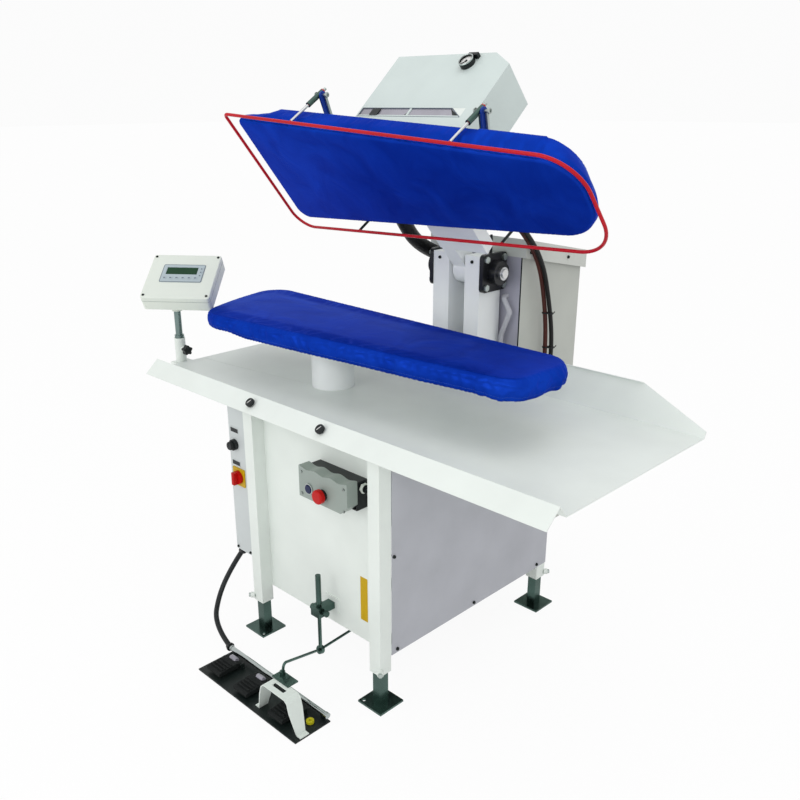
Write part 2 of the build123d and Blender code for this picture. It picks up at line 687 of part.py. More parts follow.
with BuildPart() as main_switch_knob:
    rod((switch_x, box_front + 3, switch_z), (switch_x, box_front - 8, switch_z), 6)
    rod((switch_x, box_front - 5.3, switch_z), (switch_x, box_front - 14, switch_z), 21)
    block(switch_x - 6, switch_x + 6, box_front - 30, box_front - 13, switch_z - 20, switch_z + 20)
    fillet(main_switch_knob.faces().sort_by(Axis.Y)[0].edges(), 3)
save(main_switch_knob.part, "main_switch_knob")

with BuildPart() as regulator_knob:
    rod((regulator_x, box_front + 3, regulator_z), (regulator_x, box_front - 6, regulator_z), 4)
    rod((regulator_x, box_front - 3, regulator_z), (regulator_x, box_front - 26, regulator_z), 13)
    fillet(regulator_knob.faces().sort_by(Axis.Y)[0].edges(), 3)
    block(regulator_x - 1, regulator_x + 1, box_front - 27, box_front - 24, regulator_z,
          regulator_z + 14, Mode.SUBTRACT)
save(regulator_knob.part, "regulator_knob")

# Push-button station on the front panel
button_z = 607
start_x, stop_x = 50, 106
with BuildPart() as station_base:
    block(station_left + 3, station_right - 3, -378, panel_front, station_low + 3, station_high - 6)
    block(station_left + 6, station_right - 6, -379, panel_front - 3, station_low + 6,
          station_high - 9, Mode.SUBTRACT)
    rod((station_right - 4, -358, 640), (station_right + 12, -358, 640), 11)
    rod((station_right + 12, -358, 640), (leg_x - post / 2, -358, 640), 6)
    rod((station_right - 7, -358, 640), (station_right - 3, -358, 640), 5, Mode.SUBTRACT)
save(station_base.part, "station_base")

scallops = []
for i in range(25):
    share = i / 24
    scallops.append((station_left + (station_right - station_left) * share,
                     station_high - 3 + 3 * cos(share * 2 * pi * 3)))
cover_face = ([(station_left, station_low), (station_right - 26, station_low),
               (station_right, station_low + 24)] + scallops[::-1])
with BuildPart() as station_cover:
    profile(Plane.XZ.offset(378), cover_face, -station_front - 378)
    block(station_left + 3, station_right - 30, station_front + 3, -377, station_low + 3,
          station_high - 9, Mode.SUBTRACT)
    for x, radius in ((start_x, 12.3), (stop_x, 9.3)):
        rod((x, station_front - 1, button_z), (x, station_front + 4, button_z), radius,
            Mode.SUBTRACT)
save(station_cover.part, "station_cover")

with BuildPart() as start_button:
    rod((start_x, station_front - 6, button_z), (start_x, station_front + 5, button_z), 12)
    rod((start_x, station_front + 3.3, button_z), (start_x, station_front + 7, button_z), 15)
    fillet(start_button.faces().sort_by(Axis.Y)[0].edges(), 1.5)
save(start_button.part, "start_button")

with BuildPart() as stop_mushroom:
    rod((stop_x, station_front - 12, button_z), (stop_x, station_front + 5, button_z), 9)
    rod((stop_x, station_front + 3.3, button_z), (stop_x, station_front + 7, button_z), 12)
    rod((stop_x, station_front - 25, button_z), (stop_x, station_front - 10, button_z), 20)
    fillet(stop_mushroom.faces().sort_by(Axis.Y)[0].edges(), 6)
save(stop_mushroom.part, "stop_mushroom")

# Display post in its clamp sleeve at the table's left edge
with BuildPart() as post_socket:
    block(post_x - 17, -610, post_y - 30, post_y + 30, 784, 792)
    rod((post_x, post_y, 784), (post_x, post_y, 870), 17)
    rod((post_x + 14, post_y, 835), (post_x + 27, post_y, 835), 9)
    rod((post_x, post_y, 783), (post_x, post_y, 871), tube_radius + 0.1, Mode.SUBTRACT)
    rod((post_x, post_y, 835), (post_x + 30, post_y, 835), 4.3, Mode.SUBTRACT)
save(post_socket.part, "post_socket")

with BuildPart() as panel_post:
    rod((post_x, post_y, 770), (post_x, post_y, 1000), tube_radius)
    rod((post_x, post_y, 870), (post_x, post_y, 880), 15)
    rod((post_x, post_y, 769), (post_x, post_y, 994), tube_radius - 2, Mode.SUBTRACT)
save(panel_post.part, "panel_post")

with BuildPart() as clamp_knob:
    rod((post_x + tube_radius + gap, post_y, 835), (post_x + 32, post_y, 835), 4)
    with BuildSketch(Plane(origin=(post_x + 30, post_y, 835), z_dir=(1, 0, 0))):
        Circle(12)
        with PolarLocations(11, 5):
            Circle(5)
    extrude(amount=16)
save(clamp_knob.part, "clamp_knob")

turn, lift = radians(panel_turn), radians(panel_lift)
panel_out = Vector(sin(turn) * cos(lift), -cos(turn) * cos(lift), sin(lift))
panel_plane = Plane(origin=panel_centre, x_dir=(cos(turn), sin(turn), 0), z_dir=tuple(panel_out))
with BuildPart() as panel_housing:
    with BuildSketch(panel_plane.offset(-panel_deep / 2)):
        RectangleRounded(panel_wide, panel_high, 10)
    extrude(amount=panel_deep)
    fillet(panel_housing.faces().sort_by(Axis((0, 0, 0), tuple(panel_out)))[-1].edges(), 4)
    with BuildSketch(panel_plane.offset(-panel_deep / 2 + 3)):
        RectangleRounded(panel_wide - 8, panel_high - 8, 6)
    extrude(amount=panel_deep - 6, mode=Mode.SUBTRACT)
    rod((post_x, post_y, 958), (post_x, post_y, 1022), 16)
    rod((post_x, post_y, 957), (post_x, post_y, 1000), tube_radius + 0.1, Mode.SUBTRACT)
    with BuildSketch(panel_plane.offset(panel_deep / 2)):
        with Locations((2, 11)):
            RectangleRounded(137, 79, 5)
    extrude(amount=-1.5, mode=Mode.SUBTRACT)
save(panel_housing.part, "panel_housing")

with BuildPart() as panel_display:
    with BuildSketch(panel_plane.offset(panel_deep / 2 - 1.5)):
        with Locations((2, 11)):
            RectangleRounded(136, 78, 5)
    extrude(amount=3)
    with BuildSketch(panel_plane.offset(panel_deep / 2 + 1.5)):
        with Locations((-2, 22)):
            Rectangle(102, 32)
    extrude(amount=-1.2, mode=Mode.SUBTRACT)
    with BuildSketch(panel_plane.offset(panel_deep / 2 + 1)):
        with Locations((-2, -10)):
            with GridLocations(20, 1, 6, 1):
                RectangleRounded(13, 10, 2)
        with Locations((60, 16)):
            with GridLocations(1, 15, 1, 3):
                RectangleRounded(9, 9, 2)
    extrude(amount=1.5)
save(panel_display.part, "panel_display")

# Pedal plate on the floor with hinge ears and pins
with BuildPart() as pedal_plate:
    block(plate_left, plate_right, plate_front, plate_back, 0, plate_thick)
    for x in pedal_xs.values():
        for s in (-1, 1):
            with Locations((x + s * 33, hinge_y, (hinge_z + 6) / 2 + plate_thick / 2)):
                Box(4, 14, hinge_z + 6 - plate_thick)
        rod((x - 33, hinge_y, hinge_z), (x + 33, hinge_y, hinge_z), 3)
    for x in (plate_left + 20, plate_right - 30):
        block(x, x + 10, pedal_tube_y - 4, pedal_tube_y + 4, plate_thick - 4, 14.5)
    block(plate_left, plate_right, plate_back, pedal_tube_y + 6, 0, plate_thick)
save(pedal_plate.part, "pedal_plate")

for side, x in pedal_xs.items():
    with BuildPart() as pedal:
        pad = [(-628, 14), (-562, 12), (-548, 12), (-548, 22), (-566, 29), (-622, 25), (-628, 22)]
        profile(Plane.YZ.offset(x - 30.5), pad, 61)
        for y in (-614, -603, -592, -581):
            block(x - 26, x + 26, y - 2, y + 2, 22, 30)
        rod((x - 30.5, hinge_y, hinge_z), (x + 30.5, hinge_y, hinge_z), 6)
        rod((x - 32, hinge_y, hinge_z), (x + 32, hinge_y, hinge_z), 3 + run_gap, Mode.SUBTRACT)
    save(pedal.part, "pedal_" + side)

with BuildPart() as pedal_tube:
    rod((-214, pedal_tube_y, pedal_tube_z), (213, pedal_tube_y, pedal_tube_z), pedal_tube_radius)
    for start, end in ((213, 224), (-214, -224)):
        rod((start, pedal_tube_y, pedal_tube_z), (end, pedal_tube_y, pedal_tube_z), 8.5)
save(pedal_tube.part, "pedal_tube")

# Foot guard over the right pedal
arch = [(30, 4), (44, 4), (47, 7), (75, 96), (84, 105), (174, 105), (184, 98), (208, 7), (211, 4),
        (228, 4)]
arch_face = [(30, 7), (45, 7), (73, 97), (83, 107.5), (175, 107.5), (186, 99), (210, 7), (225, 7)]
with BuildPart() as pedal_guard:
    profile(Plane.XZ.offset(584), band(arch_face, 2.7), 47)
    profile(Plane.YZ.offset(20), [(-631, 109), (-584, 109), (-584, 70), (-592, 4), (-622, 4),
                                 (-631, 70)], 220, Mode.INTERSECT)
    block(100, 150, -614, -600, 100, 110, Mode.SUBTRACT)
save(pedal_guard.part, "pedal_guard")

# Yellow round stop on the plate
with BuildPart() as pedal_bumper:
    rod((192, -560, plate_thick), (192, -560, plate_thick + 9), 11)
    rod((192, -560, plate_thick + 5), (192, -560, plate_thick + 12), 4, Mode.SUBTRACT)
    fillet(pedal_bumper.faces().sort_by(Axis.Z)[-1].edges(), 1.5)
save(pedal_bumper.part, "pedal_bumper")

# Bent tie rod from the guard to the strap under the base
tie_points = [(88, -566, 110), (91, -562, 146), (45, -392, 82), (31, -237, 78.4), (31, -225, 78.2)]
tie = tube(tie_points[:3] + [(30.4, -226, 78.1)], [9, 60], 4, "tie_rod")
with BuildPart() as pedal_tie_rod:
    add(tie)
    block(74, 143, -592, -556, 107.5, 111.5)
    rod((88, -566, 111), (88, -566, 120), 8)
save(pedal_tie_rod.part, "pedal_tie_rod")

# Hanger stud with an eye round the tie rod, held by a clamp on the front panel
hang_x, hang_y = 45, -392
with BuildPart() as hanger_rod:
    rod((hang_x, hang_y, 94), (hang_x, hang_y, 240), 5.5)
    rod((hang_x, hang_y, 236), (hang_x, hang_y, 330), 8)
    rod((hang_x, hang_y - 5, 83), (hang_x, hang_y + 5, 80), 13)
    rod((hang_x + 4.8, hang_y - 18, 88.8), (hang_x - 1.8, hang_y + 18, 81), 5.2, Mode.SUBTRACT)
    rod((hang_x + 1, hang_y - 10, 84.6), (hang_x - 1, hang_y + 12, 81.4), 5.2, Mode.SUBTRACT)
save(hanger_rod.part, "hanger_rod")

with BuildPart() as hanger_clamp:
    block(hang_x - 18, hang_x + 18, hang_y - 16, hang_y + 20, 200, 232)
    block(hang_x - 14, hang_x + 14, hang_y + 18, panel_front, 206, 226)
    block(hang_x - 26, hang_x + 26, panel_front - 4, panel_front, 192, 240)
    rod((hang_x, hang_y, 190), (hang_x, hang_y, 240), 5.5 + 0.1, Mode.SUBTRACT)
    for s in (-1, 1):
        rod((hang_x + s * 17, hang_y + 2, 214), (hang_x + s * 31, hang_y + 2, 214), 5)
        rod((hang_x + s * 24, hang_y + 2, 214), (hang_x + s * 33, hang_y + 2, 214), 9)
save(hanger_clamp.part, "hanger_clamp")

# Pedal cable from the control box to the tube, and the head's hoses
cable_points = [(-350, -366, 250.4), (-378, -394, 190), (-378, -452, 110), (-322, -514, 50),
                (-226.7, -523, 22.2)]
save(tube(cable_points, bend_radii(cable_points), cable_radius, "pedal_cable"), "pedal_cable")

exit_z = 1122
hose_routes = {}
for name, x, low in (("hose_inner", 154, [(473, 1000), (474, 880), (473, 760), (430, 665)]),
                     ("hose_outer", 169, [(478, 1000), (508, 880), (508, 760), (450, 660)])):
    leave = lifted(x, case_back + 2.1, exit_z)
    hose_routes[name] = [leave, (x, 225, 1300), (x, 350, 1216), (x, 436, 1118)] + [
        (x, y, z) for y, z in low] + [(x, rear_outer + 4, 638)]
duct_start = lifted(-205, case_back + 3.6, exit_z + 4)
hose_routes["duct"] = [duct_start, (-205, 215, 1222), (-205, 285, 1148),
                       (-205, cabinet_front - 9, 1112)]
with BuildPart() as head_hoses:
    for name, route in hose_routes.items():
        thick = duct_radius if name == "duct" else hose_radius
        add(tube(route, bend_radii(route), thick, name))
save(head_hoses.part, "head_hoses")
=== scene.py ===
import bpy, bmesh, math
from mathutils import Matrix, Vector, noise


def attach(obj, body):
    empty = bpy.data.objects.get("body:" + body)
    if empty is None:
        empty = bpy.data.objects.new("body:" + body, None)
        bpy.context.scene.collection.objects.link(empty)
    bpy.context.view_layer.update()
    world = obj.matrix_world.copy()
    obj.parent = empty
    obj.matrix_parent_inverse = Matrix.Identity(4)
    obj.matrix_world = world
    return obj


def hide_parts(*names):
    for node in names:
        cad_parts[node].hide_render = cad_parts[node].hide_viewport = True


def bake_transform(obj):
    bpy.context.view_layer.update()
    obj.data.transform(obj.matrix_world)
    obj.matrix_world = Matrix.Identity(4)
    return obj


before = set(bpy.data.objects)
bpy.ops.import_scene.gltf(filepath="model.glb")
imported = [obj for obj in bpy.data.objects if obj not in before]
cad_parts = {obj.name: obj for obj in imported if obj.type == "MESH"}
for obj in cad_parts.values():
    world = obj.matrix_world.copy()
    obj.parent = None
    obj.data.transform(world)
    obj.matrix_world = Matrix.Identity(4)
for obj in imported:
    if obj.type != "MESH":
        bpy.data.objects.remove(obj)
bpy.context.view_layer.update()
root = "frame"
print("frame loaded")

# Camera fitted to the photograph, in metres, degrees and pixels
shot = {"place": (1.6857, -1.7558, 1.5832), "heading": 45.2, "down": 20.8, "roll": -0.3,
        "focal": 861.6, "middle": (383.8, 427.1), "size": 800}
view = bpy.data.cameras.new("viewCamera")
viewer = bpy.data.objects.new("viewCamera", view)
bpy.context.collection.objects.link(viewer)
view.sensor_width = 36
view.lens = shot["focal"] / shot["size"] * view.sensor_width
view.shift_x = 0.5 - shot["middle"][0] / shot["size"]
view.shift_y = shot["middle"][1] / shot["size"] - 0.5
viewer.location = shot["place"]
turnAngles = (math.radians(shot["heading"]), math.radians(90 - shot["down"]), math.radians(shot["roll"]))
viewer.rotation_euler = (Matrix.Rotation(turnAngles[0], 3, "Z") @ Matrix.Rotation(turnAngles[1], 3, "X")
                         @ Matrix.Rotation(turnAngles[2], 3, "Z")).to_euler()
bpy.context.scene.camera = viewer
bpy.context.scene.view_settings.view_transform = "Standard"


# Materials: one entry per finish, with what differs from the usual. grain is the fineness of the bump pattern and
# bump its height in millimetres
usual = {"rough": 0.45, "metal": 0, "coat": 0, "gloss": 0.5, "grain": 900, "bump": 0.12}
finishes = {
    "whitePowder": {"colour": (0.77, 0.82, 0.78), "rough": 0.42, "vary": 0.03},
    # Painted shade: the white paint darkened on the casing, whose face the lamps light more than the rest
    "casingShadedWhite": {"colour": (0.6, 0.68, 0.66), "rough": 0.42, "vary": 0.03},
    # Painted light: the white paint made paler on the column, uprights and head arm, lifting them out of the shade
    # under the buck and head
    "paintedLightWhite": {"colour": (0.86, 0.89, 0.89), "rough": 0.42, "vary": 0.03},
    "panelGrey": {"colour": (0.43, 0.44, 0.48), "vary": 0.06},
    "greyPowder": {"colour": (0.56, 0.6, 0.6), "vary": 0.04},
    "zincPlate": {"colour": (0.42, 0.47, 0.45), "rough": 0.34, "metal": 0.9, "grain": 60, "bump": 0.15, "vary": 0.3},
    "darkZinc": {"colour": (0.06, 0.105, 0.09), "rough": 0.26, "metal": 0.9, "grain": 60, "bump": 0.15, "vary": 0.4},
    "turnedSteel": {"colour": (0.55, 0.56, 0.57), "rough": 0.28, "metal": 1, "grain": 400, "bump": 0.05, "vary": 0.08},
    "postChrome": {"colour": (0.17, 0.23, 0.22), "rough": 0.16, "metal": 1, "grain": 30, "bump": 0.02, "vary": 0.3},
    "brightChrome": {"colour": (0.42, 0.46, 0.45), "rough": 0.1, "metal": 1, "grain": 30, "bump": 0.02, "vary": 0.06},
    "castPlaten": {"colour": (0.5, 0.51, 0.52), "rough": 0.5, "metal": 0.8, "grain": 350, "bump": 0.2, "vary": 0.12},
    "padFelt": {"colour": (0.7, 0.67, 0.58), "rough": 0.95, "grain": 1400, "bump": 0.5, "vary": 0.1},
    "redGloss": {"colour": (0.5, 0.006, 0.016), "rough": 0.3, "gloss": 0.2, "grain": 200, "bump": 0.03, "vary": 0.08},
    "blackSatin": {"colour": (0.007, 0.012, 0.011), "rough": 0.42, "gloss": 0.25, "grain": 500, "bump": 0.1,
                   "vary": 0.25},
    "blackEnamel": {"colour": (0.008, 0.009, 0.011), "rough": 0.3, "gloss": 0.35, "grain": 260, "bump": 0.4,
                    "vary": 0.2},
    "blackPlastic": {"colour": (0.008, 0.011, 0.012), "rough": 0.38, "gloss": 0.3, "grain": 1500, "vary": 0.12},
    "treadRubber": {"colour": (0.008, 0.01, 0.01), "rough": 0.72, "gloss": 0.2, "bump": 0.3, "vary": 0.2},
    "hoseRubber": {"colour": (0.008, 0.008, 0.008), "gloss": 0.25, "grain": 700, "bump": 0.2, "vary": 0.2},
    "brownRubber": {"colour": (0.07, 0.016, 0.012), "gloss": 0.25, "grain": 700, "bump": 0.2, "vary": 0.2},
    "lightPlastic": {"colour": (0.72, 0.77, 0.7), "rough": 0.38, "grain": 1300, "vary": 0.03},
    "stationGrey": {"colour": (0.29, 0.34, 0.31), "rough": 0.4, "grain": 1300, "bump": 0.14, "vary": 0.05},
    "displayFilm": {"colour": (0.42, 0.5, 0.53), "rough": 0.35, "grain": 800, "bump": 0.05, "vary": 0.05},
    "displayGlass": {"colour": (0.01, 0.05, 0.02), "rough": 0.35, "gloss": 0.15, "bump": 0.02, "vary": 0.25},
    "keyGrey": {"colour": (0.13, 0.16, 0.2), "rough": 0.4, "bump": 0.04, "vary": 0.08},
    "cabinetGrey": {"colour": (0.47, 0.49, 0.45), "vary": 0.04},
    "lidGrey": {"colour": (0.58, 0.6, 0.56), "vary": 0.04},
    # Painted shade: darker purple-grey colour for the rear cabinet's front, where the lid shades it
    "paintedShadeGrey": {"colour": (0.38, 0.38, 0.45), "vary": 0.05},
    "windowGrey": {"colour": (0.3, 0.29, 0.34), "rough": 0.16, "coat": 0.5, "grain": 12, "bump": 0.2, "vary": 0.25},
    "redPlastic": {"colour": (0.5, 0.006, 0.005), "rough": 0.3, "gloss": 0.2, "bump": 0.04, "vary": 0.06},
    "bluePlastic": {"colour": (0.004, 0.012, 0.06), "rough": 0.25, "gloss": 0.3, "bump": 0.04, "vary": 0.06},
    "yellowPlastic": {"colour": (0.55, 0.35, 0.004), "rough": 0.4, "gloss": 0.2, "bump": 0.06, "vary": 0.06},
    "limeRubber": {"colour": (0.5, 0.46, 0.01), "rough": 0.5, "gloss": 0.2, "bump": 0.2, "vary": 0.08},
    "dialWhite": {"colour": (0.8, 0.8, 0.78), "rough": 0.4, "grain": 700, "bump": 0.02, "vary": 0.02},
    "blueThread": {"colour": (0.02, 0.07, 0.42), "rough": 0.6, "grain": 2000, "bump": 0.1, "vary": 0.1},
    "bluePaint": {"colour": (0.008, 0.04, 0.3), "rough": 0.35, "gloss": 0.2, "grain": 500, "bump": 0.1, "vary": 0.1},
    "guardPaint": {"colour": (0.7, 0.76, 0.72), "rough": 0.35, "coat": 0.2, "grain": 500, "vary": 0.05},
}


def setInputs(node, values):
    for key, value in values.items():
        node.inputs[key].default_value = value


def newNode(tree, kind, values=None, **settings):
    node = tree.nodes.new(kind)
    for key, value in settings.items():
        setattr(node, key, value)
    setInputs(node, values or {})
    return node


def wire(tree, *links):
    for giver, output, taker, entry in links:
        tree.links.new(giver.outputs[output], taker.inputs[entry])


def newPaint(name):
    made = bpy.data.materials.new(name)
    made.use_nodes = True
    return made, made.node_tree, made.node_tree.nodes["Principled BSDF"]


def colourRamp(tree, ends):
    ramp = newNode(tree, "ShaderNodeValToRGB")
    for element, (position, colour) in zip(ramp.color_ramp.elements, ends):
        element.position, element.color = position, [*colour, 1]
    return ramp


def makeFinish(name, differences):
    look = {**usual, **differences}
    made, tree, shader = newPaint(name)
    place = newNode(tree, "ShaderNodeTexCoord")
    cloud = newNode(tree, "ShaderNodeTexNoise", {"Scale": 7, "Detail": 5})
    dark, light = ([min(1, c * (1 + way * look["vary"])) for c in look["colour"]] for way in (-1, 1))
    ramp = colourRamp(tree, ((0.3, dark), (0.7, light)))
    grain = newNode(tree, "ShaderNodeTexNoise", {"Scale": look["grain"], "Detail": 2})
    bump = newNode(tree, "ShaderNodeBump", {"Distance": look["bump"] / 1000, "Strength": 0.6})
    wire(tree, (place, "Object", cloud, "Vector"), (place, "Object", grain, "Vector"), (cloud, "Fac", ramp, "Fac"),
         (ramp, "Color", shader, "Base Color"), (grain, "Fac", bump, "Height"), (bump, "Normal", shader, "Normal"))
    setInputs(shader, {"Roughness": look["rough"], "Metallic": look["metal"], "Coat Weight": look["coat"],
                       "Coat Roughness": 0.1, "Specular IOR Level": look["gloss"]})
    return made


# Satin-faced cloth: fine weave bump on the piece's own UV map, coloured gloss on its rims
satin = {"dark": (0.0035, 0.030, 0.33), "light": (0.006, 0.046, 0.44), "rough": 0.4, "threads": 900, "lustre": 0.5,
         "rimTint": (0.12, 0.42, 1.0), "gloss": 0.1, "index": 1.2, "weave": 0.0002}


def makeSatin(name, look):
    made, tree, shader = newPaint(name)
    uv = newNode(tree, "ShaderNodeUVMap", uv_map="cloth")
    place = newNode(tree, "ShaderNodeTexCoord")
    weave = newNode(tree, "ShaderNodeMath", operation="MAXIMUM")
    for k, axis in enumerate(("X", "Y")):
        wave = newNode(tree, "ShaderNodeTexWave", {"Scale": look["threads"] / 20, "Distortion": 0.6},
                       bands_direction=axis)
        wire(tree, (uv, "UV", wave, "Vector"), (wave, "Fac", weave, k))
    creases = newNode(tree, "ShaderNodeTexNoise", {"Scale": 9, "Detail": 4, "Distortion": 0.8})
    fine = newNode(tree, "ShaderNodeBump", {"Distance": look["weave"], "Strength": 0.35})
    broad = newNode(tree, "ShaderNodeBump", {"Distance": 0.004, "Strength": 0.5})
    # The crease noise also colours the cloth, darker in the hollows of its broad bump and lighter on the crests:
    # painted shade and painted highlight
    ramp = colourRamp(tree, ((0.35, look["dark"]), (0.7, look["light"])))
    wire(tree, (place, "Object", creases, "Vector"), (creases, "Fac", broad, "Height"), (creases, "Fac", ramp, "Fac"),
         (weave, "Value", fine, "Height"), (broad, "Normal", fine, "Normal"), (fine, "Normal", shader, "Normal"),
         (ramp, "Color", shader, "Base Color"))
    setInputs(shader, {"Roughness": look["rough"], "Metallic": look["lustre"], "Specular Tint": [*look["rimTint"], 1],
                       "Specular IOR Level": look["gloss"], "IOR": look["index"]})
    return made


paint = {name: makeFinish(name, look) for name, look in finishes.items()}
paint["blueSatin"] = makeSatin("blueSatin", satin)

# Which finish each CAD piece wears
nodeFinish = {
    "whitePowder": ["base_frame", "front_panel", "table_top", "post_socket"],
    "paintedLightWhite": ["buck_column", "uprights", "head_arm"],
    "casingShadedWhite": ["head_casing"],
    "panelGrey": ["base_panels", "steam_pipe"],
    "greyPowder": ["control_box", "control_box_cover"],
    "cabinetGrey": ["rear_cabinet"],
    "lidGrey": ["cabinet_lid"],
    "zincPlate": ["leg_clamp_bolts", "bearing_bolts"],
    "darkZinc": ["leg_front_left", "leg_front_right", "leg_rear_left", "leg_rear_right", "hanger_rod", "hanger_clamp",
                 "pedal_tie_rod", "bar_brackets"],
    "turnedSteel": ["pivot_shaft", "piston_rod"],
    "postChrome": ["panel_post"],
    "brightChrome": ["pedal_tube"],
    "castPlaten": ["buck_platen", "head_platen", "air_cylinder"],
    "redGloss": ["safety_bar"],
    "blackSatin": ["pedal_plate", "panel_screws"],
    "blackEnamel": ["bearings"],
    "blackPlastic": ["gauge_body", "gauge_needle", "close_button_left", "close_button_right",
                     "regulator_knob", "clamp_knob", "station_base"],
    "treadRubber": ["pedal_left", "pedal_middle", "pedal_right"],
    "lightPlastic": ["panel_housing"],
    "stationGrey": ["station_cover"],
    "displayFilm": ["panel_display"],
    "redPlastic": ["stop_mushroom", "main_switch_knob"],
    "bluePlastic": ["start_button"],
    "yellowPlastic": ["switch_plate"],
    "limeRubber": ["pedal_bumper"],
    "guardPaint": ["pedal_guard"],
}
for finish, names in nodeFinish.items():
    for name in names:
        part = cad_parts[name]
        for slot in part.material_slots:
            slot.material = paint[finish]
        if not part.material_slots:
            part.data.materials.append(paint[finish])
print("finishes made")


def mm(*point):
    return Vector(point) / 1000


def addPiece(name, mesh, finish, body, smooth=False):
    piece = bpy.data.objects.new(name, mesh)
    bpy.context.collection.objects.link(piece)
    mesh.materials.clear()
    mesh.materials.append(paint[finish])
    if smooth:
        mesh.polygons.foreach_set("use_smooth", [True] * len(mesh.polygons))
    if body:
        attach(piece, body)
    return piece


def skin(name, rows, looped=False):
    # Mesh from rings of points in metres, closed by its two ends, or by joining the last ring to the first
    mesh = bmesh.new()
    rings = [[mesh.verts.new(point) for point in row] for row in rows]
    total = len(rings[0])
    for a, b in zip(rings, rings[1:] + (rings[:1] if looped else [])):
        for k in range(total):
            mesh.faces.new((a[k], a[(k + 1) % total], b[(k + 1) % total], b[k]))
    if not looped:
        mesh.faces.new(rings[0][::-1])
        mesh.faces.new(rings[-1])
    return meshData(name, mesh)


def meshData(name, mesh):
    bmesh.ops.recalc_face_normals(mesh, faces=mesh.faces)
    data = bpy.data.meshes.new(name)
    mesh.to_mesh(data)
    mesh.free()
    return data


# Head pieces are placed closed and turned open about the pivot
pivot = {"y": 325, "z": 1092, "open": 48}


def lifted(x, y, z):
    along, above = y - pivot["y"], z - pivot["z"]
    turn = math.radians(pivot["open"])
    return Vector((x, pivot["y"] + along * math.cos(turn) + above * math.sin(turn),
                   pivot["z"] - along * math.sin(turn) + above * math.cos(turn))) / 1000


def liftTurn():
    hinge = mm(0, pivot["y"], pivot["z"])
    return (Matrix.Translation(hinge) @ Matrix.Rotation(-math.radians(pivot["open"]), 4, "X")
            @ Matrix.Translation(-hinge))


# Cords: the routes' points are those of the CAD solids, in millimetres
cableRoute = [(-350, -366, 250.4), (-378, -394, 190), (-378, -452, 110), (-322, -514, 50),
              (-226.7, -523, 22.2)]


def hoseRoute(x, low):
    return ([tuple(lifted(x, -44 + 2.1, 1122) * 1000), (x, 225, 1300), (x, 350, 1216), (x, 436, 1118)]
            + [(x, y, z) for y, z in low] + [(x, 387, 638)])


cords = {
    "pedalCable": {"route": cableRoute, "radius": 8, "finish": "blackPlastic", "node": "pedal_cable"},
    "innerHose": {"route": hoseRoute(154, [(475, 1000), (496, 880), (495, 760), (437, 664)]), "radius": 7,
                  "finish": "brownRubber", "node": "head_hoses"},
    "outerHose": {"route": hoseRoute(169, [(478, 1000), (508, 880), (508, 760), (450, 660)]), "radius": 7,
                  "finish": "hoseRubber", "node": "head_hoses"},
    "steamDuct": {"route": [tuple(lifted(-205, -44 + 3.6, 1126) * 1000), (-205, 215, 1222),
                            (-205, 285, 1148), (-205, 376, 1112)], "radius": 23,
                  "finish": "hoseRubber", "node": "head_hoses"},
}
cordPaths = {}


def asMesh(curve):
    # The curve as it stands, tube or bare line, made a mesh
    ghost = bpy.data.objects.new("ghost", curve)
    bpy.context.collection.objects.link(ghost)
    bpy.context.view_layer.update()
    data = bpy.data.meshes.new_from_object(ghost.evaluated_get(bpy.context.evaluated_depsgraph_get()))
    bpy.data.objects.remove(ghost)
    return data


def layCord(name, spec):
    curve = bpy.data.curves.new(name, "CURVE")
    curve.dimensions = "3D"
    line = curve.splines.new("NURBS")
    line.points.add(len(spec["route"]) - 1)
    for spot, place in zip(line.points, spec["route"]):
        spot.co = (*mm(*place), 1)
    line.order_u = 3
    line.use_endpoint_u = True
    line.resolution_u = 16
    cordPaths[name] = [v.co.copy() for v in asMesh(curve).vertices]
    curve.bevel_depth = spec["radius"] / 1000
    curve.bevel_resolution = 5
    curve.use_fill_caps = True
    curve.materials.append(paint[spec["finish"]])
    if spec["node"] == "head_hoses":
        piece = addPiece(name, asMesh(curve), spec["finish"], None, smooth=True)
        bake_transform(piece)
    else:
        piece = bpy.data.objects.new(name, curve)
        bpy.context.collection.objects.link(piece)
        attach(piece, root)
    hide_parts(spec["node"])


for name, spec in cords.items():
    layCord(name, spec)
print("cords laid")


# Outline with rounded corners, as evenly spaced points with outward directions
def roundedOutline(points, radii, count):
    dense = []
    total = len(points)
    for i in range(total):
        before, here, after = (Vector(points[(i + k) % total]) for k in (-1, 0, 1))
        a, b = (before - here).normalized(), (after - here).normalized()
        half = a.angle(b) / 2
        reach = radii[i] / math.tan(half)
        centre = here + (a + b).normalized() * radii[i] / math.sin(half)
        first, last = here + a * reach - centre, here + b * reach - centre
        sweep = first.angle_signed(last)
        for k in range(25):
            dense.append(centre + Matrix.Rotation(-sweep * k / 24, 2) @ first)
    dense.append(dense[0].copy())
    runs = [0]
    for a, b in zip(dense, dense[1:]):
        runs.append(runs[-1] + (b - a).length)
    spots, k = [], 0
    for i in range(count):
        want = runs[-1] * i / count
        while runs[k + 1] < want:
            k += 1
        share = (want - runs[k]) / max(1e-9, runs[k + 1] - runs[k])
        spots.append(dense[k].lerp(dense[k + 1], share))
    outs = []
    for i in range(count):
        run = spots[(i + 1) % count] - spots[i - 1]
        outs.append(Vector((run.y, -run.x)).normalized())
    middle = sum(spots, Vector((0, 0))) / count
    if (spots[0] - middle).dot(outs[0]) < 0:
        outs = [-o for o in outs]
    return spots, outs, runs[-1]


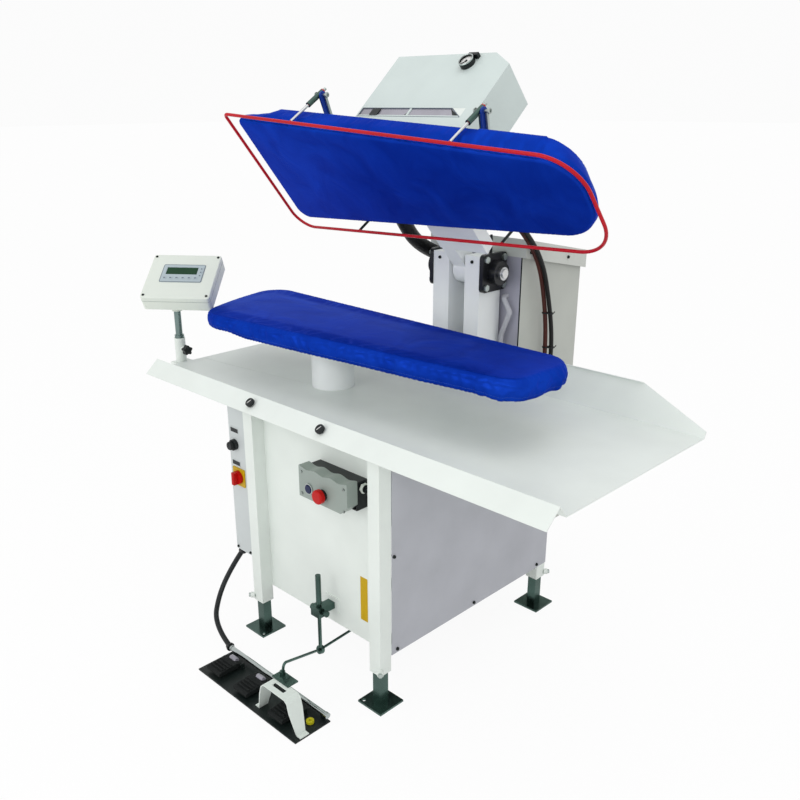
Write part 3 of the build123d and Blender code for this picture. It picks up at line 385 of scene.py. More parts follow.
# Fitted covers. Lengths in millimetres; swell caps how far the simulated cloth may move
covers = {
    "buckCloth": {"points": [(-526, -348), (586, -243), (593, 10), (-668, 58), (-609, -150)],
                  "radii": [118, 62, 92, 78, 1400], "hem": 933, "top": 990, "crown": 5, "rim": 14, "softRim": 14,
                  "roll": 12, "groove": 1.6, "bulge": 2.4, "count": 480, "rings": 24,
                  "spine": [(-480, -150), (430, -135)], "gather": 1.9, "wave": 3.6, "lift": 8, "tuck": 22,
                  "node": "buck_cover", "body": root, "seed": 3.1, "dent": 0.8, "spare": 0.03, "swell": 6,
                  "cut": (1.33, 0.54), "pad": ("buckPadding", "buck_pad", 974), "cast": ("buckCasting", 946),
                  "foot": ("buckFoot", 940, 40), "drain": (-213, -262, 926)},
    "headCloth": {"points": [(-475, -355), (622, -247), (622, -14), (-524, 55)], "radii": [22, 100, 120, 40],
                  "back": ([(-372, -330), (582, -251), (582, -14), (-437, 48)], [28, 93, 112, 42]),
                  "hem": 1067, "top": 991, "crown": 4, "rim": 9, "softRim": 3, "roll": 4, "groove": 0, "bulge": 1.6,
                  "count": 480, "rings": 24, "spine": [(-370, -160), (490, -140)], "gather": 0.35, "wave": 0.3,
                  "lift": 0, "tuck": 22, "node": "head_cover", "body": "head", "seed": 9.4, "dent": 0.6, "spare": 0.01,
                  "swell": 3, "cut": (1.25, 0.56), "pad": ("headPadding", "head_pad", 1006),
                  "cast": ("headCasting", 1062)},
}
clothSteps = 20
seamLines = {}


def nearEnds(spec, x, low=150, high=130):
    # 1 where the outline turns round its ends, 0 along its straight sides
    least, most = min(p[0] for p in spec["points"]), max(p[0] for p in spec["points"])
    return max(0, min(1, (x - most + high) / 90), min(1, (least + low - x) / 120))


def foldHeight(spec, s, level, ends):
    # Gathered folds: strongest at the hem and round the ends, drawn from a few lengths so no two are alike
    seed = spec["seed"]
    coarse = noise.noise(Vector((s * 9, seed, level * 0.8)))
    folds = math.sin(s * 150 + 9 * coarse) * 0.6 + math.sin(s * 76 + 14 * noise.noise(Vector((s * 5, seed, 4)))) * 0.7
    share = 0.2 + 0.8 * abs(noise.noise(Vector((s * 3.3, seed + 7, 1)))) + 1.2 * ends
    return folds * share * spec["gather"] * level ** 1.4 + coarse * spec["gather"] * 0.9 * level


def sideSection(spec, ends, drop):
    # Height above the hem and inset for the side of one cover, from the hem up to the edge of its face
    tall = abs(spec["top"] - spec["hem"])
    rim = spec["rim"] + spec["softRim"] * ends
    flat = tall - spec["crown"] * 0.75
    path = []
    for k in range(5):
        angle = math.pi / 2 * k / 4
        path.append((drop + spec["roll"] * (1 - math.cos(angle)), spec["roll"] * (1 - math.sin(angle))))
    low, high = drop + spec["roll"], flat - rim
    for k in range(1, 12):
        t = k / 12
        height = low + (high - low) * t
        groove = spec["groove"] * math.exp(-((height - tall + 23) / 5) ** 2) * (1 - ends)
        path.append((height, groove - spec["bulge"] * math.sin(math.pi * t)))
    for k in range(13):
        angle = math.pi / 2 * k / 12
        path.append((flat - rim * (1 - math.sin(angle)), rim * (1 - math.cos(angle))))
    return path


def insetAt(path, height):
    for (h1, i1), (h2, i2) in zip(path[4:], path[5:]):
        if height <= h2:
            share = max(0, (height - h1) / max(0.01, h2 - h1))
            return i1 + (i2 - i1) * share
    return path[-1][1]


def backTargets(spec, spots):
    # Where each point of the outline is drawn to at the back, for a cover whose ends lean inwards
    if "back" not in spec:
        return [None] * len(spots)
    line = roundedOutline(*spec["back"], 700)[0]
    return [min(line, key=lambda p, spot=spot: (p - spot).length_squared) for spot in spots]


def leaned(spec, spot, out, target, height, inset):
    # Place of a side point: height above the hem, inset from the outline, in the plane of the outline
    if target is None:
        return spot - out * inset
    way = target - spot
    reach = way.length
    if way.dot(out) >= 0 or reach < 4:
        return spot - out * inset
    share = (abs(spec["top"] - spec["hem"]) - height - 20) / 58
    drawn = max(0, min(reach, share * (reach + 5) - 5))
    return spot + way / reach * drawn + (way / reach if share > 0.3 else -out) * inset


def settleCloth(piece, loosest, spec):
    # Cloth with a little spare length, held on its face and under its hem, swells and buckles into place
    start = [v.co.copy() for v in piece.data.vertices]
    normals = [v.normal.copy() for v in piece.data.vertices]
    held = piece.vertex_groups.new(name="held")
    for i, looseness in enumerate(loosest):
        held.add([i], 1 - looseness, "REPLACE")
    cloth = piece.modifiers.new("settle", "CLOTH")
    settings = cloth.settings
    settings.quality = 6
    settings.mass = 0.25
    settings.tension_stiffness = 20
    settings.compression_stiffness = 8
    settings.shear_stiffness = 6
    settings.bending_stiffness = 0.35
    settings.vertex_group_mass = "held"
    settings.pin_stiffness = 1
    settings.shrink_min = -spec["spare"]
    settings.use_pressure = True
    settings.uniform_pressure_force = 1.2
    settings.effector_weights.gravity = 0
    cloth.point_cache.frame_start = 1
    cloth.point_cache.frame_end = clothSteps
    scene = bpy.context.scene
    for step in range(1, clothSteps + 1):
        scene.frame_set(step)
    settled = bpy.data.meshes.new_from_object(piece.evaluated_get(bpy.context.evaluated_depsgraph_get()))
    moved = [v.co.copy() for v in settled.vertices]
    piece.modifiers.remove(cloth)
    piece.vertex_groups.remove(held)
    scene.frame_set(1)
    cap, most, sink = spec["swell"] / 1000, 0, 0.0009
    for vertex, first, now, normal in zip(piece.data.vertices, start, moved, normals):
        shift = now - first
        inward = shift.dot(normal)
        if inward < -sink:
            shift -= normal * (inward + sink)
        if shift.length > cap:
            shift *= cap / shift.length
        most = max(most, shift.length)
        vertex.co = first + shift
    print(piece.name, "settled, furthest move", round(most * 1000, 1), "mm")


def hemShift(spec, s, x, ends):
    # The hem is drawn up at the low end and hangs in scallops where the far end is gathered
    slow = noise.noise(Vector((s * 3.2, spec["seed"], 0)))
    scallop = abs(math.sin(s * 52 + 6 * noise.noise(Vector((s * 4, spec["seed"] + 2, 0)))))
    drawn = max(0, min(1, (-330 - x) / 70))
    hanging = slow * 0.7 - ends * (1 - drawn) * (0.4 + 1.2 * scallop)
    return spec["wave"] * hanging + spec["lift"] * drawn * (1 + 0.25 * slow)


def ringLooseness(k):
    # Free to move on the side, held more and more towards the face
    if k < 5:
        return 0.5 if k > 2 else 0.3
    return 0.9 if k < 18 else 0.9 - 0.07 * (k - 17)


def fitCover(name, spec):
    count = spec["count"]
    spots, outs, around = roundedOutline(spec["points"], spec["radii"], count)
    ends = [nearEnds(spec, p.x) for p in spots]
    soft = [nearEnds(spec, p.x, 60, 60) ** 1.5 for p in spots]
    lengths = [around * i / count / 1000 for i in range(count)]
    down = 1 if spec["top"] > spec["hem"] else -1
    tall = abs(spec["top"] - spec["hem"])
    targets = backTargets(spec, spots)
    shifts = [hemShift(spec, lengths[i], spots[i].x, ends[i]) for i in range(count)]
    sections = [sideSection(spec, soft[i], shifts[i]) for i in range(count)]
    mesh = bmesh.new()
    uvLayer = mesh.loops.layers.uv.new("cloth")
    rings, marks, looseness = [], [], []
    start, end = (Vector(p) for p in spec["spine"])
    axis = end - start

    def ring(places, distance, loose):
        rings.append([mesh.verts.new(p) for p in places])
        marks.append(distance)
        looseness.append(loose)

    def sidePlace(i, height, inset):
        flat = leaned(spec, spots[i], outs[i], targets[i], height, inset)
        return mm(flat.x, flat.y, spec["hem"] + down * height)

    # Under-hem drawn inwards by its elastic, then up the side
    for inward, rise in ((spec["tuck"], 1.4), (spec["tuck"] * 0.8, 0.2)):
        ring([sidePlace(i, shifts[i] + rise, inward + foldHeight(spec, lengths[i], 1, ends[i]) * 0.4)
              for i in range(count)], -inward / 1000, 0)
    steps = len(sections[0])
    for k in range(steps):
        places = []
        for i in range(count):
            height, inset = sections[i][k]
            level = max(0, 1 - (height - shifts[i]) / (tall - spec["rim"]))
            fold = foldHeight(spec, lengths[i], level, ends[i])
            if k > 15:
                wrinkle = math.sin(lengths[i] * 190 + 8 * noise.noise(Vector((lengths[i] * 8, spec["seed"], 2))))
                fold += wrinkle * 0.5 * soft[i] * (1 - (k - 15) / 14) * min(1, spec["gather"])
            places.append(sidePlace(i, height, inset - max(fold, -0.7) if k > 4 else inset - fold * 0.7))
        ring(places, (sections[0][k][0] + k * 0.8) / 1000, ringLooseness(k))
    edge = [Vector((v.co.x, v.co.y)) * 1000 for v in rings[-1]]
    inner = []
    for spot in edge:
        t = max(0, min(1, (spot - start).dot(axis) / axis.length_squared))
        inner.append(start + axis * t)
    for k in range(1, spec["rings"] + 1):
        t = k / spec["rings"]
        places = []
        for spot, goal in zip(edge, inner):
            flat = spot.lerp(goal, t)
            rise = spec["crown"] * 0.75 * min(1, t * 1.6) ** 0.6
            dent = spec["dent"] * (noise.noise(Vector((flat.x / 130, flat.y / 90, spec["seed"]))) - 0.3) * min(1, t * 4)
            places.append(mm(flat.x, flat.y, spec["top"] - down * (spec["crown"] * 0.75 - rise - dent)))
        ring(places, (tall + 40 + 200 * t) / 1000, max(0, 0.3 - t))
    for a, b, ma, mb in zip(rings, rings[1:], marks, marks[1:]):
        for i in range(count):
            j = (i + 1) % count
            face = mesh.faces.new((a[i], a[j], b[j], b[i]))
            for loop, u, v in zip(face.loops, (i, i + 1, i + 1, i), (ma, ma, mb, mb)):
                loop[uvLayer].uv = (u / count * around / 1000, v)
            face.smooth = True
    bmesh.ops.recalc_face_normals(mesh, faces=mesh.faces)
    # Points that fall together on the middle line are joined first, because the cloth solver stops on them
    mesh.verts.ensure_lookup_table()
    bmesh.ops.remove_doubles(mesh, verts=mesh.verts[-count:], dist=0.0015)
    data = bpy.data.meshes.new(name)
    mesh.to_mesh(data)
    mesh.free()
    piece = addPiece(name, data, "blueSatin", None, smooth=True)
    settleCloth(piece, [looseness[i // count] for i in range(len(data.vertices))], spec)
    mesh = bmesh.new()
    mesh.from_mesh(data)
    mesh.verts.ensure_lookup_table()
    if spec["body"] == "head":
        bmesh.ops.transform(mesh, matrix=liftTurn(), verts=mesh.verts)
    seamRing = 6
    seamLines[name] = [mesh.verts[seamRing * count + i].co.copy() for i in range(count)]
    mesh.to_mesh(data)
    area = sum(face.calc_area() for face in mesh.faces)
    mesh.free()
    print(name, "cloth area", round(area, 3))
    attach(piece, spec["body"])
    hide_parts(spec["node"])
    padName, padNode, padEdge = spec["pad"]
    castName, castEdge = spec["cast"]
    # Felt pad and casting under the cover, both a little inside it, and the narrower foot of the buck's casting
    padLow, castLow = abs(padEdge - spec["hem"]), abs(castEdge - spec["hem"])
    platen = spec["node"].replace("cover", "platen")
    layers = [(padName, padLow, tall - spec["crown"] - 2.2, "padFelt", padNode, "felt", 0),
              (castName, castLow, padLow - 0.6, "castPlaten", platen, "platen", 0)]
    if "foot" in spec:
        footName, footEdge, footStep = spec["foot"]
        layers.append((footName, footEdge - spec["hem"], castLow + 0.5, "castPlaten", platen, "platen", footStep))
    under, inside = 2.2, 3.4
    for layer, low, high, finish, node, slotName, step in layers:
        rows = []
        for k in range(9):
            height = low + (high - low) * k / 8
            rows.append([])
            for i in range(0, count, 2):
                inset = insetAt(sections[i], height + under) + inside + step
                flat = leaned(spec, spots[i], outs[i], targets[i], height, inset)
                rows[-1].append(mm(flat.x, flat.y, spec["hem"] + down * height))
        data = skin(layer, rows)
        if spec["body"] == "head":
            data.transform(liftTurn())
        filling = addPiece(layer, data, finish, spec["body"])
        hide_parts(node)


for name, spec in covers.items():
    fitCover(name, spec)
print("covers fitted and padded")


# Geometry Nodes: a small shape repeated at marked points, or along a line
def patternTree(name, knob, alongLine):
    # Stands the shape on each point by its facing, or along a line at a pitch, then makes it real and paints it
    tree = bpy.data.node_groups.new(name, "GeometryNodeTree")
    for way in ("OUTPUT", "INPUT"):
        tree.interface.new_socket(name="Geometry", in_out=way, socket_type="NodeSocketGeometry")
    names = {label: tree.interface.new_socket(name=label, in_out="INPUT", socket_type="NodeSocket" + kind).identifier
             for label, kind in (("Shape", "Object"), (knob, "Float"), ("Finish", "Material"))}
    groupIn, groupOut = newNode(tree, "NodeGroupInput"), newNode(tree, "NodeGroupOutput")
    align = newNode(tree, "FunctionNodeAlignRotationToVector", axis="X" if alongLine else "Z")
    shape = newNode(tree, "GeometryNodeObjectInfo")
    spread = newNode(tree, "GeometryNodeInstanceOnPoints")
    real = newNode(tree, "GeometryNodeRealizeInstances")
    coat = newNode(tree, "GeometryNodeSetMaterial")
    if alongLine:
        steps = newNode(tree, "GeometryNodeResampleCurve", mode="LENGTH")
        tangent = newNode(tree, "GeometryNodeInputTangent")
        wire(tree, (groupIn, "Geometry", steps, "Curve"), (groupIn, knob, steps, "Length"),
             (steps, "Curve", spread, "Points"), (tangent, "Tangent", align, "Vector"))
    else:
        looks = newNode(tree, "GeometryNodeInputNamedAttribute", {"Name": "facing"}, data_type="FLOAT_VECTOR")
        wire(tree, (groupIn, "Geometry", spread, "Points"), (groupIn, knob, spread, "Scale"),
             (looks, "Attribute", align, "Vector"))
    wire(tree, (groupIn, "Shape", shape, "Object"), (shape, "Geometry", spread, "Instance"),
         (align, "Rotation", spread, "Rotation"), (spread, 0, real, 0), (real, 0, coat, "Geometry"),
         (groupIn, "Finish", coat, "Material"), (coat, 0, groupOut, 0))
    return tree, names


fixings, fixingInputs = patternTree("fixings", "Size", False)
stitching, stitchInputs = patternTree("stitches", "Pitch", True)


def spun(profile, sides):
    # Closed turned shape about +Z from (radius, height) pairs; a third value makes that ring a hexagon
    rows = []
    for radius, height, *hexed in profile:
        rows.append([])
        for k in range(sides):
            angle = 2 * math.pi * k / sides
            reach = radius
            if hexed and hexed[0]:
                local = (angle % (math.pi / 3)) - math.pi / 6
                reach = radius * math.cos(math.pi / 6) / math.cos(local)
            rows[-1].append((reach * math.cos(angle), reach * math.sin(angle), height))
    return skin("spun", rows)


def patternObject(name, data):
    thing = bpy.data.objects.new(name, data)
    bpy.context.collection.objects.link(thing)
    return thing


def grown(name, source, tree, values, finish, body):
    # Runs the tree on the source, keeps its result as a plain mesh and clears the rest away
    modifier = source.modifiers.new("grow", "NODES")
    modifier.node_group = tree
    for key, value in values.items():
        modifier[key] = value
    bpy.context.view_layer.update()
    depsgraph = bpy.context.evaluated_depsgraph_get()
    data = bpy.data.meshes.new_from_object(source.evaluated_get(depsgraph))
    source.modifiers.remove(modifier)
    bpy.data.objects.remove(source)
    data.name = name
    return addPiece(name, data, finish, body)


screwProfile = [(1, 0), (1, 0.32), (0.9, 0.5), (0.52, 0.6, True), (0.5, 0.25, True)]
screwShape = patternObject("screwShape", spun(screwProfile, 24))


def setScrews(name, places, size, finish, body):
    # places: point in millimetres and the way its head looks
    data = bpy.data.meshes.new(name)
    data.from_pydata([mm(*spot) for spot, way in places], [], [])
    facing = data.attributes.new("facing", "FLOAT_VECTOR", "POINT")
    facing.data.foreach_set("vector", [c for spot, way in places for c in way])
    source = patternObject(name + "Points", data)
    values = {fixingInputs["Shape"]: screwShape, fixingInputs["Size"]: size / 1000,
              fixingInputs["Finish"]: paint[finish]}
    grown(name, source, fixings, values, finish, body)


sidePanelScrews = [(-317, 166), (13, 166), (332, 166), (-330, 459)]
screws = {
    "sideScrews": {"size": 4.7, "finish": "blackSatin", "body": root, "places":
                   [((s * 287.4, y, z), (s, 0, 0)) for s in (1, -1) for y, z in sidePanelScrews if s > 0 or z < 250]
                   + [((145.4, y, z), (1, 0, 0)) for y, z in ((406, 1150), (608, 1112))]
                   + [((x, 267.6, 1125), (0, -1, 0)) for x in (-101, 28)]},
    "boxScrews": {"size": 3.8, "finish": "blackSatin", "body": root, "places":
                  [((x, -379.4, z), (0, -1, 0)) for x in (-357, -294.3) for z in (264, 742)]},
    "stationScrews": {"size": 3.2, "finish": "zincPlate", "body": root, "places":
                      [((x, -416.4, z), (0, -1, 0)) for x in (20, 188) for z in (586, 649)]},
}

# Display housing: its own plane, turned and tilted
display = {"centre": (-681, -295, 1048), "turn": 37.9, "lift": 57.4, "wide": 222, "high": 194, "deep": 52}
turn, lift = math.radians(display["turn"]), math.radians(display["lift"])
displayOut = Vector((math.sin(turn) * math.cos(lift), -math.cos(turn) * math.cos(lift), math.sin(lift)))
displayX = Vector((math.cos(turn), math.sin(turn), 0))
displayY = displayOut.cross(displayX)


def onDisplay(u, v, w):
    return Vector(display["centre"]) + displayX * u + displayY * v + displayOut * w


screws["displayScrews"] = {"size": 4.2, "finish": "blackSatin", "body": "panel", "places":
                           [(tuple(onDisplay(u, v, 25.9)), tuple(displayOut)) for u in (-101, 101) for v in (-86, 86)]}
for name, spec in screws.items():
    setScrews(name, spec["places"], spec["size"], spec["finish"], spec["body"])
print("screws set")


def roundedPlate(name, at, wide, high, low, top, radius, finish, body, middle=(0, 0), hole=None):
    # Thin plate with rounded corners; at maps (u, v, w) in millimetres to a place, hole cuts its middle out
    def loop(w2, h2, r):
        points = []
        for sx, sy, first in ((1, 1, 0), (-1, 1, 90), (-1, -1, 180), (1, -1, 270)):
            for k in range(5):
                angle = math.radians(first + 22.5 * k)
                points.append((middle[0] + sx * (w2 - r) + r * math.cos(angle),
                               middle[1] + sy * (h2 - r) + r * math.sin(angle)))
        return points

    outer = loop(wide / 2, high / 2, radius)
    soft = loop(wide / 2 - 0.3, high / 2 - 0.3, max(0.2, radius - 0.3))
    sections = [(outer, low), (outer, top - 0.2), (soft, top)]
    if hole:
        inner = loop(hole[0] / 2, hole[1] / 2, max(0.3, radius * 0.6))
        sections += [(inner, top), (inner, low)]
    rows = [[at(u, v, w) / 1000 for u, v in points] for points, w in sections]
    addPiece(name, skin(name, rows, looped=bool(hole)), finish, body)


roundedPlate("displayGlass", onDisplay, 100, 30, 26.35, 26.95, 1.5, "displayGlass", "panel", (-2, 22))
roundedPlate("displayBorder", onDisplay, 136, 78, 27.45, 27.75, 5, "keyGrey", "panel", (2, 11), hole=(132, 74))
roundedPlate("lidSeam", onDisplay, 222.7, 194.7, 8, 9.2, 10, "stationGrey", "panel", hole=(219, 191))
for k in range(6):
    roundedPlate("displayKey%d" % k, onDisplay, 7.5, 4.5, 28.4, 28.8, 1.5, "keyGrey", "panel", (-52 + 20 * k, -10))
for k in range(3):
    roundedPlate("sideKey%d" % k, onDisplay, 4.6, 4.6, 28.4, 28.8, 1.6, "keyGrey", "panel", (60, 1 + 15 * k))


def stood(data, start, way, lift):
    # Moves a shape about +Z to a point in millimetres with its axis along way; lift turns it open with the head
    place = Matrix.Translation(mm(*start)) @ Vector(way).to_track_quat("Z", "Y").to_matrix().to_4x4()
    data.transform((liftTurn() @ place) if lift else place)


def turned(name, profile, sides, start, way, finish, body, lift=False):
    data = spun([(r / 1000, h / 1000, *more) for r, h, *more in profile], sides)
    stood(data, start, way, lift)
    data.polygons.foreach_set("use_smooth", [len(p.vertices) == 4 for p in data.polygons])
    piece = addPiece(name, data, finish, body)
    split = piece.modifiers.new("sharpEdges", "EDGE_SPLIT")
    split.split_angle = math.radians(35)


def ringPiece(name, outer, inner, height, start, way, finish, body, lift=False):
    lip, sides = 0.6, 40
    profile = [(inner, 0), (outer, 0), (outer, height - lip), (outer - lip, height), (inner + lip, height),
               (inner, height - lip)]
    turns = [2 * math.pi * k / sides for k in range(sides)]
    data = skin(name, [[(r * math.cos(t) / 1000, r * math.sin(t) / 1000, h / 1000) for t in turns] for r, h in profile],
                looped=True)
    stood(data, start, way, lift)
    addPiece(name, data, finish, body)


front = (0, -1, 0)


def facing(depth):
    # Plane that looks to the front from a depth: u across, v up, w outwards
    return lambda u, v, w: Vector((u, depth - w, v))


def onCasing(u, v, w):
    return lifted(u, -w, v) * 1000


# Gauge dial, its marks and rim
gauge = {"x": 35, "y": -190, "z": 1400, "marks": 28, "edge": 17.4, "long": 3.6, "short": 2.2, "half": 0.022}
turned("gaugeDial", [(18.6, 0), (18.6, 0.3), (18.4, 0.35)], 40, (gauge["x"], gauge["y"], gauge["z"]), front,
       "dialWhite", "head", lift=True)
tickMesh = bmesh.new()
for k in range(gauge["marks"]):
    angle = math.radians(225 - 270 * k / (gauge["marks"] - 1))
    outR, half = gauge["edge"], gauge["half"]
    inR = outR - (gauge["short"] if k % 3 else gauge["long"])
    corners = [(outR, half), (outR, -half), (inR, -half), (inR, half)]
    spots = [mm(gauge["x"] + r * math.cos(angle + d), gauge["y"] - 0.5, gauge["z"] + r * math.sin(angle + d))
             for r, d in corners]
    tickMesh.faces.new([tickMesh.verts.new(p) for p in spots])
tickData = meshData("gaugeMarks", tickMesh)
tickData.transform(liftTurn())
addPiece("gaugeMarks", tickData, "blackPlastic", "head")
ringPiece("gaugeRim", 22.6, 19.2, 3, (gauge["x"], gauge["y"] - 4.5, gauge["z"]), front, "brightChrome", "head",
          lift=True)

# Window pane in the casing and the catch on it
roundedPlate("windowPane", onCasing, 389, 34, 176.4, 177.6, 1, "windowGrey", "head", (-59.5, 1217))
roundedPlate("windowCatch", onCasing, 32, 25, 177.8, 181.5, 3, "blackPlastic", "head", (-192, 1217))

# Push-button station: bezel, collar, conduit nut
ringPiece("startBezel", 16.2, 12.5, 4, (50, -414.8, 607), front, "brightChrome", root)
ringPiece("stopCollar", 16, 9.6, 4.6, (106, -414.8, 607), front, "blackPlastic", root)
ringPiece("regulatorCollar", 17, 13.6, 12, (-338, -377.1, 616), front, "blackPlastic", root)
for k, z in enumerate((662, 556)):
    roundedPlate("boxPlate%d" % k, facing(0), 36, 13, 377.6, 378.7, 1, "blackPlastic", root, (-337, z))
roundedPlate("clampPad", facing(0), 54, 50, 339.6, 343.9, 1.5, "whitePowder", root, (45, 216))
turned("conduitNut", [(13.5, 0, True), (14.5, 1, True), (14.5, 8, True), (12, 9.5, True)], 24, (200.5, -358, 640),
       (1, 0, 0), "lightPlastic", root)
turned("cableGland", [(9, 0), (10, 2), (13.5, 5, True), (14.5, 7, True), (14.5, 15, True), (13, 16.5, True)], 24,
       (-350, -366, 238.3), (0, 0, 1), "blackPlastic", root)
drain = covers["buckCloth"]["drain"]
turned("drainSpigot", [(8.2, 0), (9, 0.8), (9, 21)], 24, drain, (0, 0, 1), "castPlaten", root)
turned("tubeGland", [(13, 0), (13, 5), (10, 9), (9, 14)], 24, (-223.5, -523, 22), (-1, 0, 0), "blackPlastic", root)
turned("bearingCap", [(13, 0), (13, 1.2), (11.5, 2.2)], 32, (111.8, 325, 1092), (1, 0, 0), "dialWhite", "head")
turned("uprightVent", [(6, 0), (6, 6), (4.5, 8), (4.5, 56), (3, 60)], 20, (50, 330, 1142.8), (0, 0, 1),
       "blackPlastic", root)
roundedPlate("postPlate", facing(-339.3), 29, 138, 0, 0.5, 1.5, "yellowPlastic", root, (178.5, 286))
for side, x in (("l", -165), ("m", -35), ("r", 124)):
    turned("hingeCap_" + side, [(5, 0), (8.5, 0.5), (9, 2), (9, 26), (8.5, 27.5), (5, 28)], 24, (x - 14, -553, 24.5),
           (1, 0, 0), "windowGrey", "pedal_" + side)
for side, x in (("l", -152), ("r", 139)):
    # Painted highlight: a pale strip across each black push button, where light catches its round side
    seat, out = Vector((x, -440.4, 804.8)), Vector((0, -0.6725, 0.7401))
    along = Vector((0, 0.7401, 0.6725))
    roundedPlate("buttonMark_" + side, lambda u, v, w, seat=seat, out=out, along=along:
                 seat + Vector((1, 0, 0)) * (u * 0.5 + v * 0.5) + along * (v * 0.87 - u * 0.2) + out * w,
                 3.4, 15, 13.9, 14.25, 1, "dialWhite", "button_" + side)
print("fittings added")


# The bar's guide rods are dressed in steel or black, its stops and the brackets' braces are plated
barLines = {"front": ((-512, -375), (635, -262)), "rear": ((-566, 100), (635, 38))}
barLean, barHeight = 0.158, 995
frontRods, rearRods = (-238, 300), (-280, 283)


def onBarRod(side, x, z):
    (xa, ya), (xb, yb) = barLines[side]
    return Vector((x, ya + (yb - ya) * (x - xa) / (xb - xa) + barLean * (z - barHeight), z))


def rodPiece(name, start, end, radius, finish, body, sides=20):
    run, edge = (end - start).length, 0.4
    profile = [(radius - edge, 0), (radius, 0.5), (radius, run - 0.5), (radius - edge, run)]
    turned(name, profile, sides, tuple(start), end - start, finish, body, lift=True)


for side, xs, low, stop, top, finish in (("front", frontRods, 1073.5, 1136.3, 1150, "turnedSteel"),
                                         ("rear", rearRods, 1061.5, 1088.3, 1100, "blackSatin")):
    for k, x in enumerate(xs):
        name = "%s%d" % (side, k)
        rodPiece(name + "Rod", onBarRod(side, x, 1000), onBarRod(side, x, low), 4.06, finish, "bar", 32)
        rodPiece(name + "Stop", onBarRod(side, x, stop - 0.1), onBarRod(side, x, stop + 4), 7.3, "zincPlate", "bar", 6)
        rodPiece(name + "End", onBarRod(side, x, stop + 3.5), onBarRod(side, x, top + 0.3), 4.3, "zincPlate", "bar")


def slotOutline(a, b, reach, steps, angle=0):
    # Outline of a slot with round ends about two points, as directions turned from the given angle
    spots = []
    for centre, first in ((b, -90), (a, 90)):
        for k in range(steps + 1):
            turnBy = angle + math.radians(first + 180 * k / steps)
            spots.append((centre.x + reach * math.cos(turnBy), centre.y + reach * math.sin(turnBy)))
    return [Vector(spot) for spot in spots]


def bracePlate(name, x, start, end, wide, thick, finish):
    # Flat arm between two points of the head's side view, with round ends
    a, b = Vector(start), Vector(end)
    middle = (a + b) / 2
    outline = slotOutline(a, b, wide / 2, 8, math.atan2(b.y - a.y, b.x - a.x))
    rows = [[lifted(x + dx, *(p - (p - middle).normalized() * shrink)) for p in outline]
            for dx, shrink in ((0, 0.4), (0.4, 0), (thick - 0.4, 0), (thick, 0.4))]
    addPiece(name, skin(name, rows), finish, "head")


braceBolts = []
for k, x in enumerate(frontRods):
    topY = onBarRod("front", x, 1124).y
    bracePlate("blueBrace%d" % k, x + 7.8, (-194, 1074), (topY + 3, 1124), 22, 5, "bluePaint")
    bracePlate("thinBrace%d" % k, x + 15, (-176, 1072), (topY + 6, 1126), 7, 5, "zincPlate")
    ends = [Vector((x + dx, topY + 3, 1125)) for dx in (-14, 26)]
    rodPiece("braceBolt%d" % k, *ends, 4, "zincPlate", "head")
    braceBolts += [(tuple(lifted(*end) * 1000), (way, 0, 0)) for end, way in ((ends[1], 1), (ends[0], -1))]
setScrews("braceNuts", braceBolts, 7.5, "zincPlate", "head")


# Window edging and divider on the casing: thin dark bars between two corners, and the slanted end with a painted shadow
# inside it
def casingBar(name, start, end, wide, finish, top=180.5):
    run = Vector(end) - Vector(start)
    along = run.normalized()
    middle = (Vector(start) + Vector(end)) / 2
    roundedPlate(name, lambda u, v, w: onCasing(*(middle + along * u + Vector((-along.y, along.x)) * v), w),
                 run.length + wide * 0.8, wide, 177.7, top, wide * 0.3, finish, "head")


windowLine = [(-253, 1201), (-253, 1233), (88, 1233), (134, 1201)]
for k in range(4):
    casingBar("windowEdge%d" % k, windowLine[k], windowLine[(k + 1) % 4], 1.8, "keyGrey")
casingBar("windowBar", (-72, 1201), (-56, 1233), 3.4, "blackSatin", 179.2)
for name, corners, proud, finish in (
        ("windowEnd", ((89.5, 1234.2), (136, 1234.2), (136, 1201.6)), 179.6, "whitePowder"),
        # Painted shadow: a dark triangle inside the window's slanted end
        ("windowShade", ((84, 1232.4), (133, 1201.4), (110, 1201.4)), 178.3, "blackSatin")):
    rows = [[lifted(u, w, v) for u, v in corners] for w in (-177.5, -proud)]
    addPiece(name, skin(name, rows), finish, "head")

# Painted shade: a darker grey sheet over the rear cabinet's front, where the lid shades it, and the seam along its edge
cabinetFront = facing(385)
roundedPlate("cabinetSkin", cabinetFront, 352, 960, 0.05, 0.9, 2, "paintedShadeGrey", root, (-50.5, 655))
roundedPlate("cabinetSeam", cabinetFront, 4, 962, 0.05, 1.6, 0.8, "blackSatin", root, (127.3, 655))
print("bar and braces dressed")


# Cable ties round the two hoses
def curvePoint(name, height):
    spots = [p for p in cordPaths[name] if p.y > 0.42]
    return min(spots, key=lambda p: abs(p.z - height))


for k, height in enumerate((0.954, 0.84)):
    a, b = curvePoint("innerHose", height), curvePoint("outerHose", height)
    across = Vector((b.x - a.x, b.y - a.y))
    outline = slotOutline(a, b, 0.0082, 12, math.atan2(across.y, across.x))
    middle = Vector((a.x + b.x, a.y + b.y)) / 2
    rows = [[(*(q + (q - middle).normalized() * grow), height + dz) for q in outline]
            for grow, dz in ((0, -0.0022), (0.0012, -0.0018), (0.0012, 0.0018), (0, 0.0022))]
    addPiece("hoseTie%d" % k, skin("hoseTie%d" % k, rows, looped=True), "blackPlastic", root)
    knot = (Vector((b.x, b.y)) + across.normalized() * 0.009) * 1000
    roundedPlate("tieTail%d" % k, lambda u, v, w, knot=knot, height=height:
                 Vector((knot.x + w, knot.y + u + 5, height * 1000 + v + u * 0.5)),
                 13, 3.4, -0.9, 0.9, 0.8, "blackPlastic", root)


